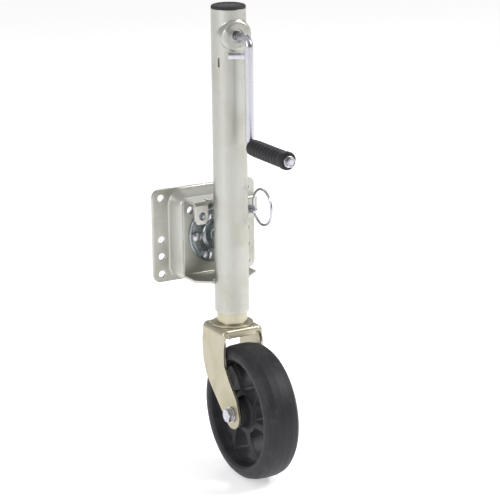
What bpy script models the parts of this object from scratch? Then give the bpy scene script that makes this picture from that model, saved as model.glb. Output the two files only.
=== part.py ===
"""Trailer tongue jack with a swivel bracket, a side-wind crank and a caster wheel.

Row frame: metres, +Z up. The origin is the centre of the mounting face, the rear face of the
main bracket. The bracket bolts to a trailer rail that lies on its +Y side, the jack tube stands
on its -Y side, and the crank points along -Y. The sizes below are in millimetres.
"""

import math

import bmesh
import bpy
import numpy as np
from mathutils import Matrix, Vector

MM = 0.001

# Driving sizes, millimetres
TUBE_Y = -88.0                 # jack tube axis, measured from the mounting face
FLOOR_Z = -347.6
TUBE_R, TUBE_BORE_R = 25.4, 23.0
TUBE_LOW, TUBE_TOP = -104.0, 349.0
RAM_R, RAM_BORE_R = 22.6, 20.0
RAM_LOW, RAM_TOP = -121.0, 258.0
GAP = 0.3                      # clearance between touching pieces

SHEET = 4.5                    # main bracket sheet
FLANGE_HALF_W, FLANGE_HALF_H, FLANGE_R = 87.0, 71.5, 12.0
PAN_HALF_W, PAN_HALF_H, PAN_R = 60.0, 69.5, 22.0
PAN_FRONT_Y = -29.0            # front face of the raised pan
PAN_DRAFT = 9.5                # how far the pan narrows from base to front
FLANGE_HOLE_X, FLANGE_HOLE_R = 72.6, 5.25
FLANGE_HOLE_Z = (58.0, -6.0, -32.0, -59.0)

PIVOT_Z = 2.5
PIVOT_HOLE_R = 40.0
PIVOT_BOLTS, PIVOT_BOLT_PCR, PIVOT_BOLT_R = 6, 34.0, 4.0
INDEX_OFFSET = 39.5            # lock holes lie at 45 degrees from the pivot
INDEX_HOLE_R = 6.0

PLATE = 4.0                    # swivel bracket plate
SWIVEL_FRONT_Y = -36.5
SWIVEL_HALF_W = 52.0
SHELF_TOP_Z, SHELF_LOW_Z = 63.3, -60.0
LOW_SHELF_FRONT_Y = -85.0
TAB_FRONT_Y, TAB_LOW_Z, TAB_INNER_X = -74.6, 29.5, 30.0

LOCK_PIN_R, LOCK_PIN_TIP_Y = 5.5, -33.0
RING_R, RING_WIRE_R = 27.0, 1.9
RING_RISE = 11.5               # ring centre above the pin axis

CRANK_Z, CRANK_PLANE_Y = 312.0, -147.0
CRANK_BAR_R, SPINDLE_R, GRIP_PIN_R = 6.25, 4.5, 5.0
GRIP_Z, GRIP_START_Y, GRIP_END_Y, GRIP_R = 157.0, -154.2, -257.0, 12.5
BOSS_FACE_Y = -116.5

GEAR_TEETH, PINION_TEETH, MODULE = 18, 12, 1.78
HOUSING_TOP, HOUSING_LOW = 289.0, 263.0
SCREW_R, SCREW_LOW = 8.0, -22.0

CROWN_TOP, FORK_SHEET = -124.0, 4.5
FORK_HALF_W, FORK_HALF_D = 34.2, 33.0
FORK_LIP = 13.0
WHEEL_R, WHEEL_HALF_W, WHEEL_TRAIL = 101.6, 27.6, 56.0
WHEEL_Y, WHEEL_Z = TUBE_Y - WHEEL_TRAIL, FLOOR_Z + WHEEL_R
AXLE_R = 6.0

FINE, ROUND, SMALL = 36, 24, 12        # facets round large, medium and small turned pieces


# ---------------------------------------------------------------- scene and materials

for old in list(bpy.data.objects):
    bpy.data.objects.remove(old, do_unlink=True)

PARTS = bpy.data.collections.new("trailer_tongue_jack")
CUTTERS = bpy.data.collections.new("cutters")
for group in (PARTS, CUTTERS):
    bpy.context.scene.collection.children.link(group)


def finish_material(name, colour, roughness, metallic):
    mat = bpy.data.materials.new(name)
    mat.use_nodes = True
    shader = mat.node_tree.nodes["Principled BSDF"]
    shader.inputs["Base Color"].default_value = (*colour, 1.0)
    shader.inputs["Roughness"].default_value = roughness
    shader.inputs["Metallic"].default_value = metallic
    return mat


ZINC = finish_material("zinc_plate", (0.60, 0.60, 0.56), 0.38, 0.9)
CREAM_ZINC = finish_material("yellow_zinc", (0.62, 0.59, 0.45), 0.38, 0.85)
BRIGHT_ZINC = finish_material("bright_zinc", (0.72, 0.73, 0.80), 0.25, 1.0)
BLUE_ZINC = finish_material("blue_zinc", (0.42, 0.50, 0.60), 0.3, 1.0)
STEEL = finish_material("machined_steel", (0.45, 0.45, 0.46), 0.35, 1.0)
BRONZE = finish_material("bronze", (0.50, 0.33, 0.15), 0.4, 1.0)
GRIP_PLASTIC = finish_material("grip_plastic", (0.02, 0.02, 0.022), 0.5, 0.0)
CAP_PLASTIC = finish_material("cap_plastic", (0.02, 0.02, 0.02), 0.45, 0.0)
WHEEL_PLASTIC = finish_material("wheel_plastic", (0.055, 0.052, 0.06), 0.5, 0.0)


# ---------------------------------------------------------------- shape helpers

def add_object(name, mesh, mat=None, collection=PARTS):
    obj = bpy.data.objects.new(name, mesh)
    collection.objects.link(obj)
    if mat:
        mesh.materials.append(mat)
    else:
        obj.hide_render = True
        obj.display_type = "WIRE"
    return obj


def mesh_from(bm, name):
    bmesh.ops.recalc_face_normals(bm, faces=bm.faces)
    mesh = bpy.data.meshes.new(name)
    bm.to_mesh(mesh)
    bm.free()
    mesh.shade_smooth()
    mesh.set_sharp_from_angle(angle=math.radians(35))
    return mesh


def axis_turn(axis):
    """Rotation that carries local +Z to the named axis."""
    turns = {"Z": Matrix(), "-Y": Matrix.Rotation(math.pi / 2, 4, "X"),
             "X": Matrix.Rotation(math.pi / 2, 4, "Y")}
    return turns[axis]


def add_box(bm, low, high):
    low, high = Vector(low) * MM, Vector(high) * MM
    place = Matrix.Translation((low + high) / 2) @ Matrix.Diagonal((*(high - low), 1.0))
    bmesh.ops.create_cube(bm, size=1.0, matrix=place)


def add_rod(bm, centre, axis, start, end, radius, segments, end_radius=None, turn=0.0):
    """A rod or cone frustum whose axis passes through centre, between two heights along it."""
    place = (Matrix.Translation(Vector(centre) * MM) @ axis_turn(axis) @ Matrix.Rotation(turn, 4, "Z")
             @ Matrix.Translation((0, 0, (start + end) / 2 * MM)))
    bmesh.ops.create_cone(bm, cap_ends=True, segments=segments, radius1=radius * MM,
                          radius2=(radius if end_radius is None else end_radius) * MM,
                          depth=abs(end - start) * MM, matrix=place)


def box(name, low, high, mat=None, collection=PARTS):
    bm = bmesh.new()
    add_box(bm, low, high)
    return add_object(name, mesh_from(bm, name), mat, collection)


def rods(name, rod_list, mat=None, collection=PARTS):
    """One object from rods given as (centre, axis, start, end, radius, segments)."""
    bm = bmesh.new()
    for rod in rod_list:
        add_rod(bm, *rod)
    return add_object(name, mesh_from(bm, name), mat, collection)


def turned(name, profile, centre, axis, mat=None, segments=ROUND, collection=PARTS):
    """Turn a profile of (radius, height) points round an axis.

    The profile runs down the outer side. It is closed into a ring unless both ends lie at
    radius 0.
    """
    mesh = bpy.data.meshes.new(name)
    points = [(radius * MM, 0.0, height * MM) for radius, height in profile]
    edges = [(i, i + 1) for i in range(len(points) - 1)]
    if profile[0][0] > 0:
        edges.append((len(points) - 1, 0))
    mesh.from_pydata(points, edges, [])
    obj = add_object(name, mesh, mat, collection)
    obj.matrix_world = Matrix.Translation(Vector(centre) * MM) @ axis_turn(axis)
    screw = obj.modifiers.new("turn", "SCREW")
    screw.steps = screw.render_steps = segments
    screw.use_merge_vertices = True
    screw.merge_threshold = 0.00001
    screw.use_smooth_shade = True
    return obj


def ring(name, outer, inner, low, high, centre, axis, mat, segments=ROUND):
    return turned(name, [(outer, high), (outer, low), (inner, low), (inner, high)],
                  centre, axis, mat, segments)


def realised(obj, weld=0.0):
    """Replace an object by a plain mesh of its evaluated shape, in the same place."""
    bpy.context.view_layer.update()
    graph = bpy.context.evaluated_depsgraph_get()
    name, place, collection = obj.name, obj.matrix_world.copy(), obj.users_collection[0]
    mesh = bpy.data.meshes.new_from_object(obj.evaluated_get(graph))
    hidden = obj.hide_render
    bpy.data.objects.remove(obj, do_unlink=True)
    if weld:
        bm = bmesh.new()
        bm.from_mesh(mesh)
        bmesh.ops.remove_doubles(bm, verts=bm.verts, dist=weld)
        bmesh.ops.recalc_face_normals(bm, faces=bm.faces)
        bm.to_mesh(mesh)
        bm.free()
    plain = bpy.data.objects.new(name, mesh)
    mesh.name = name
    collection.objects.link(plain)
    plain.matrix_world = place
    plain.hide_render = hidden
    plain.display_type = "WIRE" if hidden else "TEXTURED"
    return plain


def plate(name, outlines, thickness, place, mat=None, collection=PARTS):
    """A flat plate from closed outlines in its own XY plane, further outlines being holes."""
    curve = bpy.data.curves.new(name, "CURVE")
    curve.dimensions = "2D"
    curve.fill_mode = "BOTH"
    curve.extrude = thickness / 2 * MM
    for outline in outlines:
        spline = curve.splines.new("POLY")
        spline.points.add(len(outline) - 1)
        for point, (x, y) in zip(spline.points, outline):
            point.co = (x * MM, y * MM, 0.0, 1.0)
        spline.use_cyclic_u = True
    if mat:
        curve.materials.append(mat)
    obj = bpy.data.objects.new(name, curve)
    collection.objects.link(obj)
    obj.matrix_world = place
    if not mat:
        obj.hide_render = True
    return realised(obj, weld=0.000001)


def bar(name, points, radius, mat=None, collection=PARTS, resolution=2, cyclic=False):
    """A round bar or wire along a poly line of points."""
    curve = bpy.data.curves.new(name, "CURVE")
    curve.dimensions = "3D"
    curve.bevel_depth = radius * MM
    curve.bevel_resolution = resolution
    curve.use_fill_caps = not cyclic
    spline = curve.splines.new("POLY")
    spline.points.add(len(points) - 1)
    for point, place in zip(spline.points, points):
        point.co = (*(Vector(place) * MM), 1.0)
    spline.use_cyclic_u = cyclic
    if mat:
        curve.materials.append(mat)
    obj = bpy.data.objects.new(name, curve)
    collection.objects.link(obj)
    obj.hide_render = not mat
    return realised(obj, weld=0.000001)


def combine(target, other, operation):
    boolean = target.modifiers.new(operation.lower(), "BOOLEAN")
    boolean.operation = operation
    boolean.solver = "EXACT"
    boolean.object = other
    return target


def cut(target, *cutters):
    for cutter in cutters:
        combine(target, cutter, "DIFFERENCE")
    return target


def fuse(target, *others):
    for other in others:
        combine(target, other, "UNION")
    return target


def place_xz(y):
    """Plate placement whose local X, Y and Z are world X, Z and -Y."""
    return Matrix.Translation((0, y * MM, 0)) @ Matrix.Rotation(math.pi / 2, 4, "X")


def place_xy(z):
    return Matrix.Translation((0, 0, z * MM))


def place_yz(x):
    """Plate placement whose local X, Y and Z are world Y, Z and X."""
    axes = Matrix(((0, 0, 1, 0), (1, 0, 0, 0), (0, 1, 0, 0), (0, 0, 0, 1)))
    return Matrix.Translation((x * MM, 0, 0)) @ axes


def arc(centre, radius, start, end, steps):
    """Points along an arc, angles in degrees."""
    angles = np.radians(np.linspace(start, end, steps + 1))
    return [(centre[0] + radius * math.cos(a), centre[1] + radius * math.sin(a)) for a in angles]


def rounded_rectangle(half_w, half_h, radius, steps=4):
    corners = ((1, 1, 0), (-1, 1, 90), (-1, -1, 180), (1, -1, 270))
    outline = []
    for sx, sy, start in corners:
        centre = (sx * (half_w - radius), sy * (half_h - radius))
        outline += arc(centre, radius, start, start + 90, steps)
    return outline


def on_axis(name, position, pieces):
    """Parent pieces to an empty that stands on their joint's axis."""
    empty = bpy.data.objects.new(name, None)
    empty.empty_display_size = 0.02
    PARTS.objects.link(empty)
    empty.location = Vector(position) * MM
    bpy.context.view_layer.update()
    for piece in pieces:
        piece.parent = empty
        piece.matrix_parent_inverse = empty.matrix_world.inverted()
    return empty


# ---------------------------------------------------------------- main bracket

def main_bracket():
    """Pressed sheet with two bolting flanges and a raised pan that carries the pivot."""
    wall = ((-1.2, -SHEET), (0.9, -SHEET - 1.4), (PAN_DRAFT - 2.2, PAN_FRONT_Y + 2.0),
            (PAN_DRAFT, PAN_FRONT_Y))
    rings = [(rounded_rectangle(FLANGE_HALF_W, FLANGE_HALF_H, FLANGE_R), -SHEET)]
    for inset, y in wall:
        outline = rounded_rectangle(PAN_HALF_W - inset, PAN_HALF_H - inset, PAN_R - inset * 0.5)
        rings.append((outline, y))
    bm = bmesh.new()
    loops = [[bm.verts.new((x * MM, y * MM, z * MM)) for x, z in outline] for outline, y in rings]
    count = len(loops[0])
    for outer, inner in zip(loops, loops[1:]):
        for i in range(count):
            j = (i + 1) % count
            bm.faces.new((outer[i], outer[j], inner[j], inner[i]))
    web = bm.faces.new(loops[-1])
    bm.normal_update()
    if web.normal.y > 0:
        bmesh.ops.reverse_faces(bm, faces=bm.faces)
    mesh = bpy.data.meshes.new("main_bracket")
    bm.to_mesh(mesh)
    bm.free()
    bracket = add_object("main_bracket", mesh, ZINC)
    shell = bracket.modifiers.new("sheet", "SOLIDIFY")
    shell.thickness = SHEET * MM
    shell.offset = -1.0
    shell.use_even_offset = True
    holes = [((0, 0, PIVOT_Z), "-Y", 10, 40, PIVOT_HOLE_R, FINE)]
    for side in (-1, 1):
        holes.append(((side * INDEX_OFFSET, 0, PIVOT_Z + INDEX_OFFSET), "-Y", 10, 40, INDEX_HOLE_R, SMALL))
        for z in FLANGE_HOLE_Z:
            holes.append(((side * FLANGE_HOLE_X, 0, z), "-Y", -5, 9, FLANGE_HOLE_R, SMALL))
    return cut(bracket, rods("main_bracket_holes", holes, collection=CUTTERS))


# ---------------------------------------------------------------- pivot

def bolt_positions():
    for index in range(PIVOT_BOLTS):
        angle = 2 * math.pi * index / PIVOT_BOLTS
        yield index, PIVOT_BOLT_PCR * math.cos(angle), PIVOT_Z + PIVOT_BOLT_PCR * math.sin(angle)


def hex_radius(across_flats):
    return across_flats / 2 / math.cos(math.pi / 6)


def pivot_parts():
    """Turntable that carries the swivel bracket: hub, two discs and six bolts with nuts."""
    centre = (0, 0, PIVOT_Z)
    clearance = [((x, 0, z), "-Y", 5, 60, PIVOT_BOLT_R + GAP, SMALL) for _, x, z in bolt_positions()]
    bolt_holes = rods("pivot_bolt_holes", clearance, collection=CUTTERS)
    hub = turned("pivot_hub", [(0, 32.2), (46, 32.2), (46, 29.3), (39.6, 29.3), (39.6, 24.2), (0, 24.2)],
                 centre, "-Y", STEEL, FINE)
    front = turned("pivot_front_disc",
                   [(0, 44.0), (19, 44.0), (21.5, 42.6), (23, 40.8), (42.6, 40.8), (44, 39.6), (44, 36.8),
                    (0, 36.8)],
                   centre, "-Y", BLUE_ZINC, FINE)
    rear = turned("pivot_rear_disc", [(0, 23.9), (44, 23.9), (44, 20.4), (0, 20.4)], centre, "-Y", STEEL,
                  FINE)
    for piece in (hub, front, rear):
        cut(piece, bolt_holes)

    head = rods("pivot_bolt_shape", [((0, 0, 0), "-Y", 41.1, 46.4, hex_radius(13), 6)], collection=CUTTERS)
    shank = rods("pivot_bolt_shank", [((0, 0, 0), "-Y", 11.0, 43.0, PIVOT_BOLT_R, SMALL)], collection=CUTTERS)
    bolt_mesh = realised(fuse(head, shank)).data
    bpy.data.objects.remove(bpy.data.objects["pivot_bolt_shape"], do_unlink=True)
    blank = rods("pivot_nut_shape", [((0, 0, 0), "-Y", 13.6, 20.1, hex_radius(13), 6)], collection=CUTTERS)
    bore = rods("pivot_nut_bore", [((0, 0, 0), "-Y", 10, 30, PIVOT_BOLT_R + GAP, SMALL)], collection=CUTTERS)
    nut_mesh = realised(cut(blank, bore)).data
    bpy.data.objects.remove(bpy.data.objects["pivot_nut_shape"], do_unlink=True)
    pieces = [hub, front, rear]
    for kind, mesh in (("bolt", bolt_mesh), ("nut", nut_mesh)):
        mesh.materials.append(BRIGHT_ZINC)
        for index, x, z in bolt_positions():
            piece = bpy.data.objects.new(f"pivot_{kind}_{index + 1}", mesh)
            PARTS.objects.link(piece)
            piece.location = Vector((x, 0, z)) * MM
            pieces.append(piece)
    return pieces, bolt_holes


# ---------------------------------------------------------------- swivel bracket and lock pin

def mirrored(outline):
    """Outline of a symmetric plate from its right half, which runs away from X = 0."""
    return outline + [(-x, y) for x, y in reversed(outline)]


def swivel_section():
    """Side view of the folded channel: tab, top shelf, back plate and bottom shelf."""
    rear, front, bend = SWIVEL_FRONT_Y + PLATE, TAB_FRONT_Y, 6.0
    inner_bend = bend - PLATE
    outline = [(front, TAB_LOW_Z)] + arc((front + bend, SHELF_TOP_Z - bend), bend, 180, 90, 3)
    outline += arc((rear - bend, SHELF_TOP_Z - bend), bend, 90, 0, 3)
    outline += arc((rear - bend, SHELF_LOW_Z + bend), bend, 0, -90, 3)
    outline += [(LOW_SHELF_FRONT_Y, SHELF_LOW_Z), (LOW_SHELF_FRONT_Y, SHELF_LOW_Z + PLATE)]
    outline += arc((rear - bend, SHELF_LOW_Z + bend), inner_bend, -90, 0, 3)
    outline += arc((rear - bend, SHELF_TOP_Z - bend), inner_bend, 0, 90, 3)
    outline += arc((front + bend, SHELF_TOP_Z - bend), inner_bend, 90, 180, 3)
    return outline + [(front + PLATE, TAB_LOW_Z)]


def swivel_bracket(bolt_holes):
    """Channel welded to the tube: back plate, two shelves and two folded tabs for the lock pin."""
    channel = plate("swivel_bracket", [swivel_section()], 2 * SWIVEL_HALF_W, place_yz(0), ZINC)
    middle = mirrored([(25, -76), (28, -60), (TAB_INNER_X, -60), (TAB_INNER_X, -95)])
    trims = [plate("swivel_middle_trim", [middle], 60.0, place_xy(55), collection=CUTTERS)]
    for side, label in ((-1, "left"), (1, "right")):
        corner = [(side * x, y) for x, y in ((60, -64.4), (31, LOW_SHELF_FRONT_Y + 0.5), (31, -95),
                                             (60, -95))]
        trims.append(plate(f"swivel_corner_trim_{label}", [corner], 20.0, place_xy(SHELF_LOW_Z),
                           collection=CUTTERS))
        for edge, inward, where in ((SWIVEL_HALF_W, -1, "outer"), (TAB_INNER_X, 1, "inner")):
            nose = [(edge - inward, TAB_LOW_Z - 2), (edge - inward, TAB_LOW_Z + 9),
                    (edge + inward * 5, TAB_LOW_Z - 2)]
            nose = [(side * x, z) for x, z in nose]
            trims.append(plate(f"swivel_tab_trim_{label}_{where}", [nose], 10.0, place_xz(TAB_FRONT_Y + 2),
                               collection=CUTTERS))
    tube_room = rods("swivel_tube_room", [((0, TUBE_Y, 0), "Z", -80, 80, TUBE_R + GAP, FINE)],
                     collection=CUTTERS)
    pin_rooms = [((side * INDEX_OFFSET, 0, PIVOT_Z + INDEX_OFFSET), "-Y", 30, 80, LOCK_PIN_R + 0.4, SMALL)
                 for side in (-1, 1)]
    pin_room = rods("swivel_pin_room", pin_rooms, collection=CUTTERS)
    return cut(channel, *trims, tube_room, pin_room, bolt_holes)


def lock_pin_parts():
    """Spring pin in the right tab, its collar, its spring and the pull ring in its flat eye."""
    x, z = INDEX_OFFSET, PIVOT_Z + INDEX_OFFSET
    centre = (x, 0, z)
    tongue_start, tongue_half, eye_y = -79.5, 5.0, -88.0
    pin = turned("lock_pin", [(0, 81.0), (LOCK_PIN_R, 81.0), (LOCK_PIN_R, -LOCK_PIN_TIP_Y + 1.5),
                              (LOCK_PIN_R - 1.5, -LOCK_PIN_TIP_Y), (0, -LOCK_PIN_TIP_Y)],
                 centre, "-Y", BRIGHT_ZINC, SMALL)
    outline = [(x + tongue_half, tongue_start), *arc((x, eye_y), tongue_half, 0, -180, 8),
               (x - tongue_half, tongue_start)]
    tongue = plate("lock_pin_tongue", [outline], 5.0, place_xy(z), collection=CUTTERS)
    eye = rods("lock_pin_eye", [((x, eye_y, z), "Z", -10, 10, 3.7, SMALL)], collection=CUTTERS)
    cut(fuse(pin, tongue), eye)
    collar = ring("lock_pin_collar", 9.0, LOCK_PIN_R + GAP, 45.0, 47.0, centre, "-Y", BRIGHT_ZINC, SMALL)
    turns, wire, coil_r = 5, 0.8, 7.6
    start, end = 48.3, 69.5
    turn_steps = 10
    steps = turns * turn_steps
    coil = [(x + coil_r * math.cos(2 * math.pi * i / turn_steps), -(start + (end - start) * i / steps),
             z + coil_r * math.sin(2 * math.pi * i / turn_steps)) for i in range(steps + 1)]
    spring = bar("lock_spring", coil, wire, STEEL, resolution=0)
    reach = math.sqrt(RING_R ** 2 - RING_RISE ** 2)
    centre_y, centre_z = eye_y - reach, z + RING_RISE
    loop = [(x, centre_y + RING_R * math.cos(2 * math.pi * i / 30),
             centre_z + RING_R * math.sin(2 * math.pi * i / 30))
            for i in range(30)]
    pull = bar("pull_ring", loop, RING_WIRE_R, BRIGHT_ZINC, resolution=1, cyclic=True)
    return pin, collar, spring, pull, (x, eye_y, z)


# ---------------------------------------------------------------- outer tube and its fittings

def outer_tube():
    """Seamless tube with a raised crank boss in front, a bush hole behind and a weld slot."""
    tube = rods("outer_tube", [((0, TUBE_Y, 0), "Z", TUBE_LOW, TUBE_TOP, TUBE_R, FINE)], ZINC)
    boss = turned("crank_boss", [(0, -BOSS_FACE_Y), (18.5, -BOSS_FACE_Y), (21.5, 115.4), (23.6, 112.5),
                                 (24.6, 108),
                                 (25, 90), (0, 90)], (0, 0, CRANK_Z), "-Y", None, FINE - 4, CUTTERS)
    bore = rods("tube_bore", [((0, TUBE_Y, 0), "Z", TUBE_LOW - 5, TUBE_TOP + 5, TUBE_BORE_R, FINE)],
                collection=CUTTERS)
    crank_holes = rods("tube_crank_holes", [((0, 0, CRANK_Z), "-Y", 95, 125, 9.8, ROUND),
                                            ((0, 0, CRANK_Z), "-Y", 55, 75, 7.3, SMALL)], collection=CUTTERS)
    slot = box("tube_weld_slot", (-30, TUBE_Y - 12.5, 266), (-15, TUBE_Y - 9.5, 280), collection=CUTTERS)
    return cut(fuse(tube, boss), bore, crank_holes, slot)


def tube_fittings():
    axis = (0, TUBE_Y, 0)
    cap = turned("top_cap", [(0, 354.0), (21.5, 354.0), (24.2, 353.0), (25.4, 351.2), (25.4, TUBE_TOP + GAP),
                             (TUBE_BORE_R - GAP, TUBE_TOP + GAP), (TUBE_BORE_R - GAP, 337.0),
                             (20.5, 337.0), (20.5, 350.5), (0, 350.5)], axis, "Z", CAP_PLASTIC, FINE)
    front_bush = turned("crank_front_bush", [(9.5, 113.5), (9.5, 107.5),
                                             (CRANK_BAR_R + GAP, 107.5),
                                             (CRANK_BAR_R + GAP, 113.5)],
                        (0, 0, CRANK_Z), "-Y", STEEL, ROUND)
    rear_bush = turned("crank_rear_bush", [(7.0, 66.8), (7.0, 62.0), (9.5, 62.0), (9.5, 60.0),
                                           (SPINDLE_R + GAP, 60.0),
                                           (SPINDLE_R + GAP, 66.8)],
                       (0, 0, CRANK_Z), "-Y", STEEL, ROUND)
    housing = turned("bearing_housing", [(TUBE_BORE_R - GAP, HOUSING_TOP), (TUBE_BORE_R - GAP, HOUSING_LOW),
                                         (15.6, HOUSING_LOW), (15.6, 282.8), (6.2, 282.8),
                                         (6.2, HOUSING_TOP)],
                     axis, "Z", STEEL, ROUND)
    bearing = ring("thrust_bearing", 15.2, 8.6, 274.6, 282.5, axis, "Z", STEEL, ROUND)
    return cap, front_bush, rear_bush, housing, bearing


def handle_clip():
    """Strap bent from the tube round behind the crank arm, which it steadies from the back."""
    path = [(-13.5, -110.2), (-5.0, -114.4), (3.0, -118.6), (9.0, -123.5), (11.5, -129.0), (10.6, -134.0),
            (8.6, -137.6)]
    thickness = 2.4
    points = np.array(path)
    tangents = np.gradient(points, axis=0)
    tangents /= np.linalg.norm(tangents, axis=1)[:, None]
    normals = np.stack([-tangents[:, 1], tangents[:, 0]], axis=1)
    outline = np.vstack([points + normals * thickness / 2, (points - normals * thickness / 2)[::-1]])
    clip = plate("handle_clip", [outline.tolist()], 10.0, place_xy(284.0), BRIGHT_ZINC)
    room = rods("handle_clip_room", [((0, TUBE_Y, 0), "Z", 270, 300, TUBE_R + GAP, FINE),
                                     ((0, CRANK_PLANE_Y, 0), "Z", 270, 300, CRANK_BAR_R + 0.9, ROUND)],
                collection=CUTTERS)
    boss_room = turned("handle_clip_boss_room", [(0, 120), (22.3, 120), (24.6, 112.5), (25.4, 108),
                                                 (25.4, 88), (0, 88)],
                       (0, 0, CRANK_Z), "-Y", None, ROUND, CUTTERS)
    return cut(clip, room, boss_room)


# ---------------------------------------------------------------- crank, gears and screw

def crank_arm():
    """One bent bar: thin spindle through the gear box, arm down the front, thin pin in the grip."""
    bend = 11.0
    upper = [(CRANK_PLANE_Y + bend - bend * math.sin(a), CRANK_Z - bend + bend * math.cos(a))
             for a in np.radians(np.linspace(0, 90, 7))]
    low_bend = 6.0
    lower = [(CRANK_PLANE_Y - low_bend + low_bend * math.cos(a), GRIP_Z + low_bend - low_bend * math.sin(a))
             for a in np.radians(np.linspace(0, 90, 5))]
    lower.append((GRIP_START_Y + GAP, GRIP_Z))
    path = [(0, -107.3, CRANK_Z)] + [(0, y, z) for y, z in upper + lower]
    arm = bar("crank_arm", path, CRANK_BAR_R, BRIGHT_ZINC)
    pins = rods("crank_pins", [((0, 0, CRANK_Z), "-Y", 57.0, 112.0, SPINDLE_R, SMALL),
                               ((0, 0, GRIP_Z), "-Y", 150.0, 264.5, GRIP_PIN_R, SMALL)], collection=CUTTERS)
    return fuse(arm, pins)


def crank_fittings():
    grip_axis = (0, 0, GRIP_Z)
    rib_count, rib_pitch = 9, 9.0
    start, end = -GRIP_START_Y, -GRIP_END_Y
    profile = [(GRIP_R - 3.5, end), (GRIP_R - 0.6, end - 1.0), (GRIP_R + 0.6, end - 4.0),
               (GRIP_R + 0.6, end - 9.0)]
    for index in range(rib_count):
        y = end - 11.0 - index * rib_pitch
        profile += [(GRIP_R - 0.8, y), (GRIP_R + 0.2, y - rib_pitch / 2)]
    profile += [(GRIP_R - 1.5, start + 1.2), (GRIP_R - 3.0, start), (GRIP_PIN_R + GAP, start),
                (GRIP_PIN_R + GAP, end)]
    grip = turned("crank_grip", profile, grip_axis, "-Y", GRIP_PLASTIC, ROUND - 4)
    washer = ring("grip_washer", 8.5, GRIP_PIN_R + GAP, end + GAP, end + 1.8, grip_axis, "-Y", BRIGHT_ZINC,
                  ROUND)
    nut = rods("grip_nut", [((0, 0, GRIP_Z), "-Y", end + 2.1, end + 8.1, hex_radius(13), 6)], BRIGHT_ZINC)
    cut(nut, rods("grip_nut_bore", [((0, 0, GRIP_Z), "-Y", end, end + 12, GRIP_PIN_R + GAP, SMALL)],
                  collection=CUTTERS))
    clip = ring("crank_retaining_ring", 7.5, SPINDLE_R + GAP, 58.2, 59.4, (0, 0, CRANK_Z), "-Y", STEEL, SMALL)
    return grip, washer, nut, clip


def bevel_gear(name, teeth, mate_teeth, bore, hub, centre, axis, phase):
    """Straight bevel gear whose cone apex is the centre, with its hub on the negative side.

    Around the axis the tooth outline is a trapezoid wave, root to tip and back, four points a
    tooth. The same wave at two distances from the apex, scaled with the distance, makes the
    tapered teeth. The bore and the hub close the ring.
    """
    pitch_r, reach = MODULE * teeth / 2, MODULE * mate_teeth / 2
    fractions = np.array([-0.21, -0.10, 0.10, 0.21])
    angles = ((np.arange(teeth)[:, None] + fractions[None, :]) * 2 * math.pi / teeth + phase).ravel()
    tip = np.tile([0.0, 1.0, 1.0, 0.0], teeth)
    slope = math.atan2(pitch_r, reach)

    def wave(scale):
        lift = (tip * 1.9 - 1.15) * MODULE * scale
        radius = pitch_r * scale + lift * math.cos(slope)
        height = -reach * scale + lift * math.sin(slope)
        return radius, height

    def circle(radius, height):
        return np.full(len(angles), radius), np.full(len(angles), height)

    back = -reach - 2.2
    hub_r, hub_end = hub
    rings = [circle(bore, -reach * 0.62 - 1.2), wave(0.68), wave(1.0), circle(pitch_r - 2.2, back),
             circle(hub_r, back), circle(hub_r, hub_end), circle(bore, hub_end)]
    bm = bmesh.new()
    loops = []
    for radius, height in rings:
        points = np.stack([radius * np.cos(angles), radius * np.sin(angles), height], axis=1) * MM
        loops.append([bm.verts.new(point) for point in points.tolist()])
    count = len(angles)
    for lower, upper in zip(loops, loops[1:] + loops[:1]):
        for i in range(count):
            j = (i + 1) % count
            bm.faces.new((lower[i], lower[j], upper[j], upper[i]))
    obj = add_object(name, mesh_from(bm, name), STEEL)
    obj.matrix_world = Matrix.Translation(Vector(centre) * MM) @ axis_turn(axis)
    return obj


def gear_train():
    apex = (0, TUBE_Y, CRANK_Z)
    quarter = math.pi / 2
    gear = bevel_gear("bevel_gear", GEAR_TEETH, PINION_TEETH, 5.8, (10.0, HOUSING_TOP + 0.5 - CRANK_Z),
                      apex, "Z", -quarter)
    pinion = bevel_gear("bevel_pinion", PINION_TEETH, GEAR_TEETH, SPINDLE_R + GAP, (8.0, -19.0), apex, "-Y",
                        0.0)
    pinion.matrix_world = (Matrix.Translation(Vector(apex) * MM) @ Matrix.Rotation(-quarter, 4, "X")
                           @ Matrix.Rotation(math.pi / PINION_TEETH + quarter, 4, "Z"))
    screw = turned("lead_screw", [(0, 303.6), (5.5, 303.6), (5.5, 274.3), (12.0, 274.3), (12.0, 268.5),
                                  (SCREW_R, 268.5),
                                  (SCREW_R, SCREW_LOW + 2), (SCREW_R - 2, SCREW_LOW), (0, SCREW_LOW)],
                   (0, TUBE_Y, 0), "Z", STEEL, ROUND)
    return gear, pinion, screw


# ---------------------------------------------------------------- ram

def ram_parts():
    axis = (0, TUBE_Y, 0)
    tube = ring("inner_tube", RAM_R, RAM_BORE_R, RAM_LOW, RAM_TOP, axis, "Z", CREAM_ZINC, FINE)
    nut = turned("screw_nut", [(RAM_R - 0.2, RAM_TOP + 3.4), (RAM_R - 0.2, RAM_TOP + GAP),
                               (RAM_BORE_R - GAP, RAM_TOP + GAP),
                               (RAM_BORE_R - GAP, RAM_TOP - 22), (SCREW_R + GAP, RAM_TOP - 22),
                               (SCREW_R + GAP, RAM_TOP + 3.4)],
                 axis, "Z", BRONZE, ROUND)
    pin_z = RAM_TOP - 12
    pin = rods("nut_pin", [((0, TUBE_Y, pin_z), "X", 12.0, RAM_R - 0.4, 2.0, SMALL)], STEEL)
    room = rods("nut_pin_room", [((0, TUBE_Y, pin_z), "X", 11.6, RAM_R + 3, 2.0 + GAP, SMALL)],
                collection=CUTTERS)
    cut(tube, room)
    cut(nut, room)
    plug = ring("stem_plug", RAM_BORE_R - GAP, 8.3, RAM_LOW, RAM_LOW + 20, axis, "Z", STEEL, ROUND)
    return tube, nut, pin, plug


# ---------------------------------------------------------------- fork and wheel

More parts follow.
